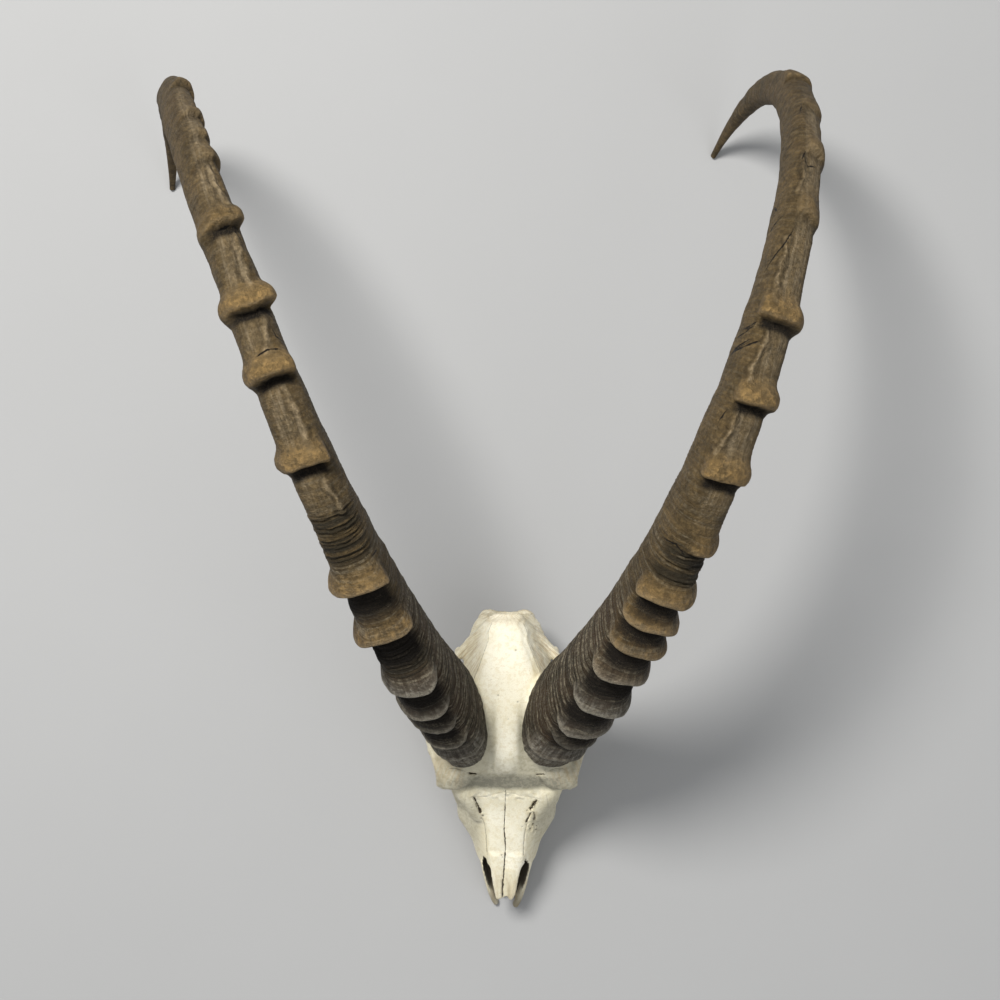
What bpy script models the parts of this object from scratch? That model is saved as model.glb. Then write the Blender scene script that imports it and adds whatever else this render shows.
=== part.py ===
"""Siberian ibex skull with both horns, resting on the front of its upper jaw and its horn tips.

Fifteen pieces: the cranium, which is one grown bone, two horn sheaths and twelve upper cheek
teeth. Metres. +Z is up, +Y runs from the snout to the back of the head, and +X is the animal's
left. The origin is under the middle of the whole object, on the surface that it rests on.
"""

import math

import bmesh
import bpy
from mathutils import Matrix, Vector

# The skull is modelled level, from the tip of its snout, and is then pitched nose-down.
SKULL_MIDLINE_X = 0.0348
SNOUT_TIP_Y = -0.3865
SNOUT_DROP = 0.0040
NOSE_DOWN_PITCH = math.radians(5.0)

# Where the horn sheaths stand on the skull, in the frame of the whole object.
HORN_HALF_SPACING = 0.0455
HORN_BASE_Y = -0.1853
HORN_BASE_Z = 0.1265
SEAT_OUTWARD_SLOPE = math.radians(15.0)
SEAT_FORWARD_SLOPE = math.radians(2.0)

# Gap that is kept between two pieces that touch.
FIT_GAP = 0.0003
SEAT_CLEARANCE = 0.0005

# Fineness of the forms.
BONE_GRAIN = 0.0022
BONE_FACES_KEPT = 0.0345
HORN_STEPS = 210
HORN_SIDES = 30
HORN_ROOT_STEPS = 8
HORN_ROOT_LENGTH = 0.055
HORN_CUT_REACH = 0.12
HORN_FACES_KEPT = 0.205

# The horns. Angles are in degrees, lengths in metres. "curl" and "bend" are the terms of the
# turning, in radians, that the horn has made at a share of its length: share, its square and its
# cube. "widths" and "depths" are across and fore and aft, at a share of the length. "turn" is how
# far the knobbed front faces outward. Each knob has its share of the length, height and reach.
HORN_LEFT = {
    "side": 1,
    "splay": 17.3,
    "lean": 12.2,
    "rise": 60.45,
    "curl": (1.729, 1.077, 0.546),
    "bend": (0.062, -0.061, 0.038),
    "length": 0.920,
    "turn": ((0.0, 4.0), (1.0, 4.0)),
    "widths": (
        (0.0, 0.0665), (0.13, 0.0580), (0.26, 0.0490), (0.40, 0.0440), (0.50, 0.0375), (0.60, 0.0325),
        (0.72, 0.0290), (0.80, 0.0265), (0.87, 0.0205), (0.92, 0.0160), (0.96, 0.0105), (1.0, 0.0050),
    ),
    "depths": (
        (0.0, 0.0900), (0.13, 0.0790), (0.26, 0.0660), (0.40, 0.0560), (0.50, 0.0490), (0.60, 0.0430),
        (0.72, 0.0370), (0.80, 0.0320), (0.87, 0.0250), (0.92, 0.0185), (0.96, 0.0120), (1.0, 0.0050),
    ),
    "knobs": (
        (0.006, 0.0030, 0.014), (0.062, 0.0055, 0.018), (0.107, 0.0045, 0.018), (0.150, 0.0045, 0.016),
        (0.185, 0.0045, 0.014), (0.212, 0.0055, 0.014), (0.240, 0.0075, 0.018), (0.290, 0.0050, 0.018),
        (0.355, 0.0080, 0.024), (0.417, 0.0090, 0.026), (0.478, 0.0075, 0.026), (0.575, 0.0025, 0.022),
        (0.642, 0.0022, 0.022), (0.708, 0.0022, 0.020),
    ),
}
HORN_RIGHT = {
    "side": -1,
    "splay": 13.7,
    "lean": 9.0,
    "rise": 61.4,
    "curl": (1.406, 2.013, 0.004),
    "bend": (0.262, 0.095, 0.066),
    "length": 0.9615,
    "turn": (
        (0.0, 0.0), (0.25, -3.0), (0.36, -10.0), (0.43, -14.0), (0.48, -18.0), (0.55, -35.0),
        (0.65, -45.0), (1.0, -50.0),
    ),
    "widths": (
        (0.0, 0.0575), (0.14, 0.0520), (0.26, 0.0455), (0.40, 0.0400), (0.50, 0.0345), (0.60, 0.0280),
        (0.71, 0.0235), (0.78, 0.0215), (0.86, 0.0180), (0.92, 0.0125), (0.96, 0.0090), (1.0, 0.0045),
    ),
    "depths": (
        (0.0, 0.0900), (0.14, 0.0780), (0.26, 0.0650), (0.40, 0.0550), (0.50, 0.0480), (0.60, 0.0420),
        (0.71, 0.0350), (0.78, 0.0300), (0.86, 0.0240), (0.92, 0.0175), (0.96, 0.0110), (1.0, 0.0045),
    ),
    "knobs": (
        (0.020, 0.0030, 0.012), (0.052, 0.0035, 0.013), (0.077, 0.0035, 0.014), (0.130, 0.0060, 0.018),
        (0.198, 0.0075, 0.020), (0.250, 0.0090, 0.022), (0.300, 0.0030, 0.016), (0.357, 0.0090, 0.024),
        (0.427, 0.0090, 0.025), (0.478, 0.0090, 0.024), (0.547, 0.0050, 0.022), (0.610, 0.0030, 0.018),
        (0.633, 0.0022, 0.014), (0.680, 0.0032, 0.016), (0.718, 0.0030, 0.015),
    ),
}
HORN_SQUARENESS = 2.25
HORN_BACK_TAPER = 0.20
KNOB_STEEP_SHARE = 0.42
KNOB_WRAP = 0.35
CREVICE_DEPTH_SHARE = 0.35
CREVICE_PLACE = -0.55
CREVICE_REACH = 0.16

# The level skull, cut across at distances from the tip of the snout. Each outline runs from the
# top of the midline, round the animal's left side, to the bottom of the midline.
SKULL_OUTLINES = (
    (0.054, ((0, 0.0562), (0.0115, 0.0556), (0.0178, 0.0512), (0.0225, 0.0410), (0.0268, 0.0270),
             (0.0235, 0.0100), (0.0125, 0.0120), (0, 0.0155))),
    (0.062, ((0, 0.0592), (0.0120, 0.0586), (0.0185, 0.0540), (0.0245, 0.0430), (0.0295, 0.0280),
             (0.0255, 0.0095), (0.0140, 0.0120), (0, 0.0165))),
    (0.075, ((0, 0.0642), (0.0130, 0.0637), (0.0195, 0.0590), (0.0275, 0.0470), (0.0335, 0.0310),
             (0.0290, 0.0095), (0.0165, 0.0110), (0, 0.0180))),
    (0.095, ((0, 0.0722), (0.0140, 0.0717), (0.0215, 0.0670), (0.0340, 0.0530), (0.0435, 0.0370),
             (0.0345, 0.0100), (0.0190, 0.0110), (0, 0.0195))),
    (0.118, ((0, 0.0812), (0.0155, 0.0807), (0.0265, 0.0765), (0.0375, 0.0620), (0.0425, 0.0440),
             (0.0370, 0.0105), (0.0205, 0.0110), (0, 0.0205))),
    (0.132, ((0, 0.0870), (0.0180, 0.0865), (0.0340, 0.0830), (0.0430, 0.0710), (0.0430, 0.0470),
             (0.0380, 0.0105), (0.0215, 0.0110), (0, 0.0210))),
    (0.147, ((0, 0.0955), (0.0200, 0.0955), (0.0430, 0.0925), (0.0430, 0.0740), (0.0405, 0.0450),
             (0.0380, 0.0105), (0.0220, 0.0115), (0, 0.0215))),
    (0.160, ((0, 0.1030), (0.0200, 0.1035), (0.0480, 0.1010), (0.0400, 0.0790), (0.0370, 0.0460),
             (0.0365, 0.0125), (0.0215, 0.0130), (0, 0.0220))),
    (0.175, ((0, 0.1090), (0.0220, 0.1080), (0.0480, 0.1020), (0.0360, 0.0800), (0.0280, 0.0530),
             (0.0200, 0.0300), (0.0100, 0.0270), (0, 0.0270))),
    (0.200, ((0, 0.1130), (0.0240, 0.1110), (0.0390, 0.1020), (0.0360, 0.0820), (0.0310, 0.0580),
             (0.0180, 0.0370), (0.0090, 0.0340), (0, 0.0340))),
    (0.222, ((0, 0.1120), (0.0240, 0.1090), (0.0370, 0.0990), (0.0395, 0.0800), (0.0360, 0.0570),
             (0.0200, 0.0360), (0.0100, 0.0320), (0, 0.0320))),
    (0.245, ((0, 0.1070), (0.0220, 0.1040), (0.0330, 0.0930), (0.0385, 0.0745), (0.0395, 0.0540),
             (0.0220, 0.0350), (0.0110, 0.0300), (0, 0.0300))),
    (0.265, ((0, 0.0995), (0.0185, 0.0965), (0.0265, 0.0850), (0.0325, 0.0680), (0.0360, 0.0500),
             (0.0240, 0.0330), (0.0120, 0.0280), (0, 0.0280))),
    (0.280, ((0, 0.0930), (0.0150, 0.0895), (0.0215, 0.0780), (0.0285, 0.0610), (0.0310, 0.0450),
             (0.0220, 0.0310), (0.0120, 0.0280), (0, 0.0280))),
    (0.290, ((0, 0.0880), (0.0110, 0.0850), (0.0160, 0.0740), (0.0200, 0.0580), (0.0230, 0.0440),
             (0.0180, 0.0310), (0.0100, 0.0290), (0, 0.0290))),
)

# Limbs of bone: points along the limb, and at each the half width and half height of its section.
FRONTAL_RIDGE = (
    ((0, 0.1585, 0.1010), 0.0095, 0.0030),
    ((0, 0.1660, 0.1070), 0.0110, 0.0045),
    ((0, 0.1850, 0.1140), 0.0110, 0.0050),
    ((0, 0.2120, 0.1165), 0.0115, 0.0045),
    ((0, 0.2380, 0.1075), 0.0120, 0.0030),
    ((0, 0.2600, 0.0975), 0.0100, 0.0022),
)
NASAL_BLADE = (
    ((0.0050, 0.0190, 0.0415), 0.0035, 0.0020),
    ((0.0070, 0.0290, 0.0455), 0.0070, 0.0026),
    ((0.0080, 0.0440, 0.0510), 0.0082, 0.0030),
    ((0.0085, 0.0660, 0.0590), 0.0090, 0.0032),
)
PREMAXILLA = (
    ((0.0092, 0.0005, 0.0052), 0.0034, 0.0045),
    ((0.0134, 0.0140, 0.0100), 0.0038, 0.0065),
    ((0.0178, 0.0300, 0.0165), 0.0040, 0.0110),
    ((0.0211, 0.0440, 0.0230), 0.0038, 0.0150),
    ((0.0230, 0.0600, 0.0290), 0.0038, 0.0180),
)
PALATE_ROD = (
    ((0.0040, 0.0120, 0.0085), 0.0032, 0.0032),
    ((0.0042, 0.0320, 0.0110), 0.0033, 0.0033),
    ((0.0042, 0.0620, 0.0160), 0.0034, 0.0034),
)
CHEEK_ARCH = (
    ((0.0430, 0.1120, 0.0400), 0.0045, 0.0110),
    ((0.0500, 0.1320, 0.0460), 0.0045, 0.0110),
    ((0.0590, 0.1500, 0.0525), 0.0045, 0.0090),
    ((0.0655, 0.1720, 0.0560), 0.0040, 0.0075),
    ((0.0675, 0.1920, 0.0560), 0.0036, 0.0065),
    ((0.0640, 0.2120, 0.0540), 0.0036, 0.0060),
    ((0.0555, 0.2300, 0.0545), 0.0040, 0.0055),
    ((0.0450, 0.2430, 0.0565), 0.0050, 0.0060),
)
BAR_BEHIND_ORBIT = (
    ((0.0660, 0.1830, 0.0970), 0.0045, 0.0050),
    ((0.0690, 0.1860, 0.0800), 0.0040, 0.0045),
    ((0.0670, 0.1860, 0.0600), 0.0045, 0.0050),
)
LACRIMAL = (
    ((0.0250, 0.1060, 0.0600), 0.0090, 0.0120),
    ((0.0315, 0.1220, 0.0690), 0.0110, 0.0150),
    ((0.0400, 0.1370, 0.0755), 0.0120, 0.0165),
    ((0.0480, 0.1520, 0.0800), 0.0100, 0.0150),
)
CHEEK_WALL = (
    ((0.0370, 0.1180, 0.0480), 0.0060, 0.0150),
    ((0.0450, 0.1340, 0.0550), 0.0080, 0.0160),
    ((0.0530, 0.1480, 0.0590), 0.0070, 0.0130),
)
NUCHAL_CREST = (
    ((0.0000, 0.2935, 0.0870), 0.0034, 0.0036),
    ((0.0105, 0.2930, 0.0850), 0.0034, 0.0036),
    ((0.0190, 0.2840, 0.0750), 0.0034, 0.0040),
    ((0.0270, 0.2740, 0.0640), 0.0036, 0.0050),
    ((0.0370, 0.2630, 0.0570), 0.0038, 0.0060),
    ((0.0480, 0.2480, 0.0560), 0.0040, 0.0060),
    ((0.0540, 0.2330, 0.0550), 0.0040, 0.0055),
)
NECK_PROCESS = (
    ((0.0255, 0.2640, 0.0460), 0.0055, 0.0090),
    ((0.0275, 0.2690, 0.0300), 0.0045, 0.0075),
    ((0.0270, 0.2710, 0.0170), 0.0034, 0.0055),
    ((0.0255, 0.2715, 0.0090), 0.0028, 0.0036),
)
EAR_TUBE = (
    ((0.0330, 0.2520, 0.0390), 0.0050, 0.0050),
    ((0.0470, 0.2550, 0.0460), 0.0048, 0.0048),
)
THROAT_PLATE = (
    ((0.0130, 0.1560, 0.0230), 0.0026, 0.0070),
    ((0.0140, 0.1760, 0.0290), 0.0024, 0.0110),
    ((0.0130, 0.1950, 0.0290), 0.0024, 0.0110),
    ((0.0115, 0.2080, 0.0220), 0.0022, 0.0060),
)
ORBIT_CUP = (
    ((0.0300, 0.1690, 0.0800), 0.0200, 0.0200),
    ((0.0500, 0.1625, 0.0795), 0.0225, 0.0225),
    ((0.0635, 0.1582, 0.0790), 0.0242, 0.0242),
)

# Rounded swellings: centre and half sizes.
BROW = ((0.0490, 0.1600, 0.0955), (0.0225, 0.0240, 0.0085))
BROW_SLOPE = math.radians(9.0)
CHEEK_SWELLING = ((0.0400, 0.1060, 0.0370), (0.0065, 0.0160, 0.0100))
EAR_BULLA = ((0.0215, 0.2450, 0.0265), (0.0085, 0.0145, 0.0110))
CONDYLE = ((0.0165, 0.2830, 0.0365), (0.0105, 0.0095, 0.0135))
JAW_JOINT = ((0.0450, 0.2310, 0.0505), (0.0130, 0.0110, 0.0060))

# The bony rim of the orbit.
ORBIT_CENTRE = (0.0640, 0.1580, 0.0790)
ORBIT_FACING = (0.954, -0.298, 0.10)
ORBIT_RIM_RADIUS = 0.0220
ORBIT_RIM_THICKNESS = 0.0040

# Hollows, as the limbs above.
ORBIT_HOLLOW = (
    ((0.0800, 0.1530, 0.0805), 0.0205, 0.0205),
    ((0.0640, 0.1580, 0.0790), 0.0198, 0.0198),
    ((0.0490, 0.1630, 0.0790), 0.0165, 0.0165),
    ((0.0350, 0.1670, 0.0800), 0.0100, 0.0100),
)
NASAL_HOLLOW = (
    ((0, 0.0480, 0.0325), 0.0178, 0.0158),
    ((0, 0.0620, 0.0340), 0.0185, 0.0160),
    ((0, 0.0850, 0.0400), 0.0175, 0.0155),
    ((0, 0.1100, 0.0450), 0.0120, 0.0100),
)
SPINAL_HOLLOW = (
    ((0, 0.3080, 0.0460), 0.0105, 0.0105),
    ((0, 0.2920, 0.0470), 0.0105, 0.0105),
    ((0, 0.2600, 0.0560), 0.0085, 0.0085),
)
THROAT_HOLLOW = (
    ((0, 0.2060, 0.0290), 0.0085, 0.0085),
    ((0, 0.1760, 0.0290), 0.0085, 0.0085),
    ((0, 0.1460, 0.0370), 0.0080, 0.0075),
)

# The stalk of bone under each horn, from inside the skull up to the seat.
STALK_BURIED = 0.024
STALK_RIM_INSET = 0.0022
STALK_FOOT_SHARE = 0.66

# Upper cheek teeth of one side, front to back: name, distance of its middle from the snout,
# distance from the midline, length along the row, width across it.
CHEEK_TEETH = (
    ("p2", 0.0845, 0.0240, 0.0080, 0.0072),
    ("p3", 0.0938, 0.0256, 0.0094, 0.0086),
    ("p4", 0.1042, 0.0272, 0.0102, 0.0104),
    ("m1", 0.1162, 0.0287, 0.0126, 0.0122),
    ("m2", 0.1310, 0.0297, 0.0158, 0.0132),
    ("m3", 0.1482, 0.0298, 0.0172, 0.0126),
)
TOOTH_CHEWING_Z = 0.0
TOOTH_TOP_Z = 0.0165
TOOTH_SIDES = 14
TOOTH_LOBE = 0.0009
TOOTH_BASIN_SHARE = 0.55
TOOTH_BASIN_DEPTH = 0.0014

# The block that trims what would reach below the floor.
FLOOR_BLOCK_SIDE = 0.1
FLOOR_BLOCK_HEIGHT = 0.04

BONE_COLOUR = (0.78, 0.74, 0.60, 1.0)
HORN_COLOUR = (0.13, 0.09, 0.055, 1.0)
TOOTH_COLOUR = (0.70, 0.62, 0.44, 1.0)


def clear_scene():
    for item in list(bpy.data.objects):
        bpy.data.objects.remove(item, do_unlink=True)


def make_collection(name):
    collection = bpy.data.collections.new(name)
    bpy.context.scene.collection.children.link(collection)
    return collection


def make_material(name, colour, roughness):
    material = bpy.data.materials.new(name)
    material.use_nodes = True
    shader = material.node_tree.nodes["Principled BSDF"]
    shader.inputs["Base Color"].default_value = colour
    shader.inputs["Roughness"].default_value = roughness
    shader.inputs["Metallic"].default_value = 0.0
    return material


def make_object(name, mesh, collection, material=None):
    """Turns a finished bmesh into a named object."""
    bmesh.ops.recalc_face_normals(mesh, faces=mesh.faces)
    data = bpy.data.meshes.new(name)
    mesh.to_mesh(data)
    mesh.free()
    item = bpy.data.objects.new(name, data)
    collection.objects.link(item)
    if material:
        data.materials.append(material)
    return item


def make_cutter(name, mesh, collection):
    cutter = make_object(name, mesh, collection)
    cutter.hide_render = True
    cutter.display_type = "WIRE"
    return cutter


def blend(before, start, end, after, share):
    """A point on the smooth curve through four neighbours, between the middle two."""
    square = share * share
    cube = square * share
    return (
        start * (1.0 - 2.5 * square + 1.5 * cube)
        + end * (0.5 * share + 2.0 * square - 1.5 * cube)
        + before * (-0.5 * share + square - 0.5 * cube)
        + after * (0.5 * cube - 0.5 * square)
    )


def smooth_row(values, steps):
    """Adds steps between neighbouring values of a row, on a smooth curve through them."""
    row = []
    last = len(values) - 1
    for index in range(last):
        before = values[max(index - 1, 0)]
        after = values[min(index + 2, last)]
        for step in range(steps):
            row.append(blend(before, values[index], values[index + 1], after, step / steps))
    row.append(values[last])
    return row


def between(stations, share):
    """The value at a share of the length, eased between the stations on either side of it."""
    for (start, low), (end, high) in zip(stations, stations[1:]):
        if share <= end:
            return low + (high - low) * max(share - start, 0.0) / (end - start)
    return stations[-1][1]


def power_sum(terms, share):
    return sum(term * share ** (index + 1) for index, term in enumerate(terms))


def rounded(value, squareness):
    """Squares off a sine or a cosine, for a section between an oval and a box."""
    return math.copysign(abs(value) ** (2.0 / squareness), value)


def add_loft(mesh, rings, closed=False):
    """Joins rings of points with faces. An open loft gets a face at each end."""
    rows = [[mesh.verts.new(point) for point in ring] for ring in rings]
    followers = rows[1:] + rows[:1] if closed else rows[1:]
    for row, following in zip(rows, followers):
        for index in range(len(row)):
            neighbour = (index + 1) % len(row)
            mesh.faces.new((row[index], row[neighbour], following[neighbour], following[index]))
    if not closed:
        mesh.faces.new(rows[0])
        mesh.faces.new(rows[-1])


def add_limb(mesh, limb, side=1, sides=14, steps=3):
    """A smooth limb along its points, with an oval section that stays upright."""
    centres = smooth_row([Vector((side * x, y, z)) for (x, y, z), _, _ in limb], steps)
    half_widths = smooth_row([half_width for _, half_width, _ in limb], steps)
    half_heights = smooth_row([half_height for _, _, half_height in limb], steps)
    rings = []
    for index, centre in enumerate(centres):
        previous = centres[max(index - 1, 0)]
        following = centres[min(index + 1, len(centres) - 1)]
        along = (following - previous).normalized()
        upright = Vector((0, 0, 1)) if abs(along.z) < 0.8 else Vector((0, 1, 0))
        across = along.cross(upright).normalized()
        tall = across.cross(along)
        ring = []
        for turn in range(sides):
            angle = math.tau * turn / sides
            ring.append(
                centre
                + across * (half_widths[index] * math.cos(angle))
                + tall * (half_heights[index] * math.sin(angle))
            )
        rings.append(ring)
    add_loft(mesh, rings)


def add_pair(mesh, limb):
    add_limb(mesh, limb, side=1)
    add_limb(mesh, limb, side=-1)


def add_swellings(mesh, swelling, slope=0.0):
    """An oval swelling on each side of the midline."""
    (x, y, z), half_sizes = swelling
    for side in (1, -1):
        place = (
            Matrix.Translation((side * x, y, z))
            @ Matrix.Rotation(side * slope, 4, "Y")
            @ Matrix.Diagonal((*half_sizes, 1.0))
        )
        bmesh.ops.create_uvsphere(mesh, u_segments=20, v_segments=12, radius=1.0, matrix=place)


def add_orbit_rims(mesh):
    """The ring of bone round each eye socket."""
    for side in (1, -1):
        centre = Vector((side * ORBIT_CENTRE[0], *ORBIT_CENTRE[1:]))
        facing = Vector((side * ORBIT_FACING[0], *ORBIT_FACING[1:])).normalized()
        level = facing.cross(Vector((0, 0, 1))).normalized()
        steep = level.cross(facing)
        rings = []
        for index in range(32):
            angle = math.tau * index / 32
            outward = level * math.cos(angle) + steep * math.sin(angle)
            middle = centre + outward * ORBIT_RIM_RADIUS
            rings.append([
                middle
                + (outward * math.cos(math.tau * turn / 10) + facing * math.sin(math.tau * turn / 10))
                * ORBIT_RIM_THICKNESS
                for turn in range(10)
            ])
        add_loft(mesh, rings, closed=True)


def add_skull_body(mesh):
    """The face, forehead and braincase, lofted through the outlines."""
    rows = []
    for distance, outline in SKULL_OUTLINES:
        left = smooth_row([Vector((x, distance, z)) for x, z in outline], 3)
        right = [Vector((-point.x, point.y, point.z)) for point in reversed(left[1:-1])]
        rows.append(left + right)
    tracks = [smooth_row(list(track), 3) for track in zip(*rows)]
    add_loft(mesh, [list(ring) for ring in zip(*tracks)])


def horn_axes(horn):
    """Back, up and aside directions of the plane that a horn curls in, on the left side."""
    splay = math.radians(horn["splay"])
    lean = math.radians(horn["lean"])
    back = Vector((math.sin(splay), math.cos(splay), 0.0))
    outward = Vector((math.cos(splay), -math.sin(splay), 0.0))
    upward = Vector((0.0, 0.0, math.cos(lean))) + outward * math.sin(lean)
    return back, upward, back.cross(upward)


def horn_directions(horn, share):
    """Directions at a share of the length: along the horn, to its knobbed front, to its flank."""
    back, upward, aside = horn_axes(horn)
    pitch = math.radians(horn["rise"]) - power_sum(horn["curl"], share)
    bend = power_sum(horn["bend"], share)
    along = (back * math.cos(pitch) + upward * math.sin(pitch)) * math.cos(bend) + aside * math.sin(bend)
    convex = upward * math.cos(pitch) - back * math.sin(pitch)
    outer = along.cross(convex).normalized()
    convex = outer.cross(along)
    turn = math.radians(between(horn["turn"], share))
    front = convex * math.cos(turn) + outer * math.sin(turn)
    return along, front, along.cross(front)


def horn_stations(horn):
    """Share of the length, place and directions along a horn, with a straight root first."""
    step = horn["length"] / HORN_STEPS
    start, front, flank = horn_directions(horn, 0.0)
    stations = []
    for index in range(HORN_ROOT_STEPS, 0, -1):
        distance = HORN_ROOT_LENGTH * index / HORN_ROOT_STEPS
        stations.append((0.0, -start * distance, front, flank))
    place = Vector()
    for index in range(HORN_STEPS + 1):
        share = index / HORN_STEPS
        _, front, flank = horn_directions(horn, share)
        stations.append((share, place.copy(), front, flank))
        place += horn_directions(horn, share + 0.5 / HORN_STEPS)[0] * step
    return stations


def knob_profile(position):
    """Height of a knob along the horn: steep towards the base, easing off towards the tip."""
    if position < 0:
        crevice = math.exp(-(((position - CREVICE_PLACE) / CREVICE_REACH) ** 2))
        rise = max(1.0 + position / KNOB_STEEP_SHARE, 0.0)
        return math.sin(rise * math.pi / 2) ** 2 - CREVICE_DEPTH_SHARE * crevice
    if position < 1:
        return math.cos(position * math.pi / 2) ** 2
    return 0.0


def knob_lift(horn, share, facing):
    """How far the surface stands out at a share of the length, where facing is 1 at the front."""
    wrap = min(max((facing + KNOB_WRAP) / (1.0 + KNOB_WRAP), 0.0), 1.0)
    lift = 0.0
    for place, height, reach in horn["knobs"]:
        position = (share - place) * horn["length"] / reach
        if -1.5 < position < 1:
            lift += height * knob_profile(position)
    return lift * wrap ** 0.7


def horn_ring(horn, station):
    share, place, front, flank = station
    half_width = between(horn["widths"], share) / 2
    half_depth = between(horn["depths"], share) / 2
    ring = []
    for index in range(HORN_SIDES):
        angle = math.tau * index / HORN_SIDES
        facing = math.cos(angle)
        narrowing = 1.0 - HORN_BACK_TAPER * (0.5 - 0.5 * facing)
        across = flank * (half_width * narrowing * rounded(math.sin(angle), HORN_SQUARENESS))
        fore = front * (half_depth * rounded(facing, HORN_SQUARENESS))
        outward = (across + fore).normalized()
        ring.append(place + across + fore + outward * knob_lift(horn, share, facing))
    return ring


def seat_normal():
    """The way the skull faces where the left horn stands on it."""
    outward = math.sin(SEAT_OUTWARD_SLOPE)
    return Vector((outward, -math.sin(SEAT_FORWARD_SLOPE), math.cos(SEAT_OUTWARD_SLOPE))).normalized()


def cut_flat(mesh, place, keep_side, near, reach):
    """Cuts off an end of a mesh, near a point, at a plane, keeping what the direction points at."""
    faces = [face for face in mesh.faces if (face.calc_center_median() - near).length < reach]
    edges = {edge for face in faces for edge in face.edges}
    verts = {vert for face in faces for vert in face.verts}
    geometry = list(verts) + list(edges) + faces
    bmesh.ops.bisect_plane(mesh, geom=geometry, plane_co=place, plane_no=keep_side, clear_inner=True)
    open_edges = [edge for edge in mesh.edges if edge.is_boundary]
    bmesh.ops.holes_fill(mesh, edges=open_edges)


def mirror_across(mesh):
    bmesh.ops.scale(mesh, vec=(-1, 1, 1), verts=mesh.verts)


def horn_base(horn):
    return Vector((SKULL_MIDLINE_X + horn["side"] * HORN_HALF_SPACING, HORN_BASE_Y, HORN_BASE_Z))


def make_horn(name, horn, collection, material):
    """One horn sheath, cut to its seat at the base and rubbed flat where its tip rests."""
    mesh = bmesh.new()
    stations = horn_stations(horn)
    add_loft(mesh, [horn_ring(horn, station) for station in stations])
    cut_flat(mesh, Vector(), seat_normal(), Vector(), HORN_CUT_REACH)
    floor = Vector((0, 0, -HORN_BASE_Z))
    cut_flat(mesh, floor, Vector((0, 0, 1)), stations[-1][1], HORN_CUT_REACH)
    if horn["side"] < 0:
        mirror_across(mesh)
    item = make_object(name, mesh, collection, material)
    item.location = horn_base(horn)
    item.data.shade_smooth()
    thin_out(item, HORN_FACES_KEPT)
    return item


def thin_out(item, share):
    decimate = item.modifiers.new("fewer faces", "DECIMATE")
    decimate.ratio = share
    decimate.use_collapse_triangulate = True


def make_horn_seat(horn_item, collection):
    """A slightly swollen copy of a horn, which cuts its seat into the skull."""
    cutter = bpy.data.objects.new("seat_of_" + horn_item.name, horn_item.data)
    collection.objects.link(cutter)
    cutter.location = horn_item.location
    cutter.hide_render = True
    cutter.display_type = "WIRE"
    thin_out(cutter, HORN_FACES_KEPT)
    swell = cutter.modifiers.new("clearance", "DISPLACE")
    swell.strength = SEAT_CLEARANCE
    swell.mid_level = 0.0
    return cutter


def add_stalk(mesh, horn, pose):
    """The stalk of bone that a horn sits on."""
    station = (0.0, Vector(), *horn_directions(horn, 0.0)[1:])
    along = horn_directions(horn, 0.0)[0]
    half_width = between(horn["widths"], 0.0) / 2
    to_skull = pose.inverted() @ Matrix.Translation(horn_base(horn))
    rings = []
    for distance, share in ((-STALK_BURIED, STALK_FOOT_SHARE), (0.0, 1.0), (0.03, 1.0)):
        inset = 1.0 - STALK_RIM_INSET / half_width
        ring = []
        for point in horn_ring({**horn, "knobs": ()}, station):
            moved = point * share * inset + along * distance
            moved.x *= horn["side"]
            ring.append(to_skull @ moved)
        rings.append(ring)
    add_loft(mesh, rings)


def tooth_ring(length, width, height, share, side):
    """One level of a tooth: a rounded block with two lobes on its cheek side."""
    ring = []
    for index in range(TOOTH_SIDES):
        angle = math.tau * (index + 0.5) / TOOTH_SIDES
        across = rounded(math.cos(angle), 3.4) * width / 2
        along = rounded(math.sin(angle), 3.4) * length / 2
        if across > 0:
            across += TOOTH_LOBE * math.cos(2 * math.tau * along / length) * -0.5
        ring.append(Vector((side * across * share, along * share, height)))
    return ring


def tooth_mesh(length, width, side, grow=0.0):
    mesh = bmesh.new()
    chewing = TOOTH_CHEWING_Z - grow
    rings = [
        tooth_ring(length + 2 * grow, width + 2 * grow, TOOTH_TOP_Z + grow, 0.90, side),
        tooth_ring(length + 2 * grow, width + 2 * grow, chewing, 1.0, side),
    ]
    if grow == 0.0:
        rings.append(tooth_ring(length, width, chewing + TOOTH_BASIN_DEPTH, TOOTH_BASIN_SHARE, side))
    add_loft(mesh, rings)
    return mesh


def make_teeth(collection, cutters, material, pose_empty):
    for side, word in ((1, "left"), (-1, "right")):
        for name, distance, offset, length, width in CHEEK_TEETH:
            place = (side * offset, distance, 0.0)
            mesh = tooth_mesh(length, width, side)
            tooth = make_object(f"tooth_{word}_{name}", mesh, collection, material)
            tooth.location = place
            tooth.parent = pose_empty
            socket_mesh = tooth_mesh(length, width, side, FIT_GAP)
            socket = make_cutter(f"socket_{word}_{name}", socket_mesh, cutters)
            socket.location = place
            socket.parent = pose_empty


def make_floor_cutter(collection):
    """Takes off what would reach below the surface that the skull rests on."""
    mesh = bmesh.new()
    middle = Matrix.Translation((SKULL_MIDLINE_X, SNOUT_TIP_Y + 0.03, -FLOOR_BLOCK_HEIGHT / 2))
    place = middle @ Matrix.Diagonal((FLOOR_BLOCK_SIDE, FLOOR_BLOCK_SIDE, FLOOR_BLOCK_HEIGHT, 1))
    bmesh.ops.create_cube(mesh, size=1.0, matrix=place)
    return make_cutter("resting_plane", mesh, collection)


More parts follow.
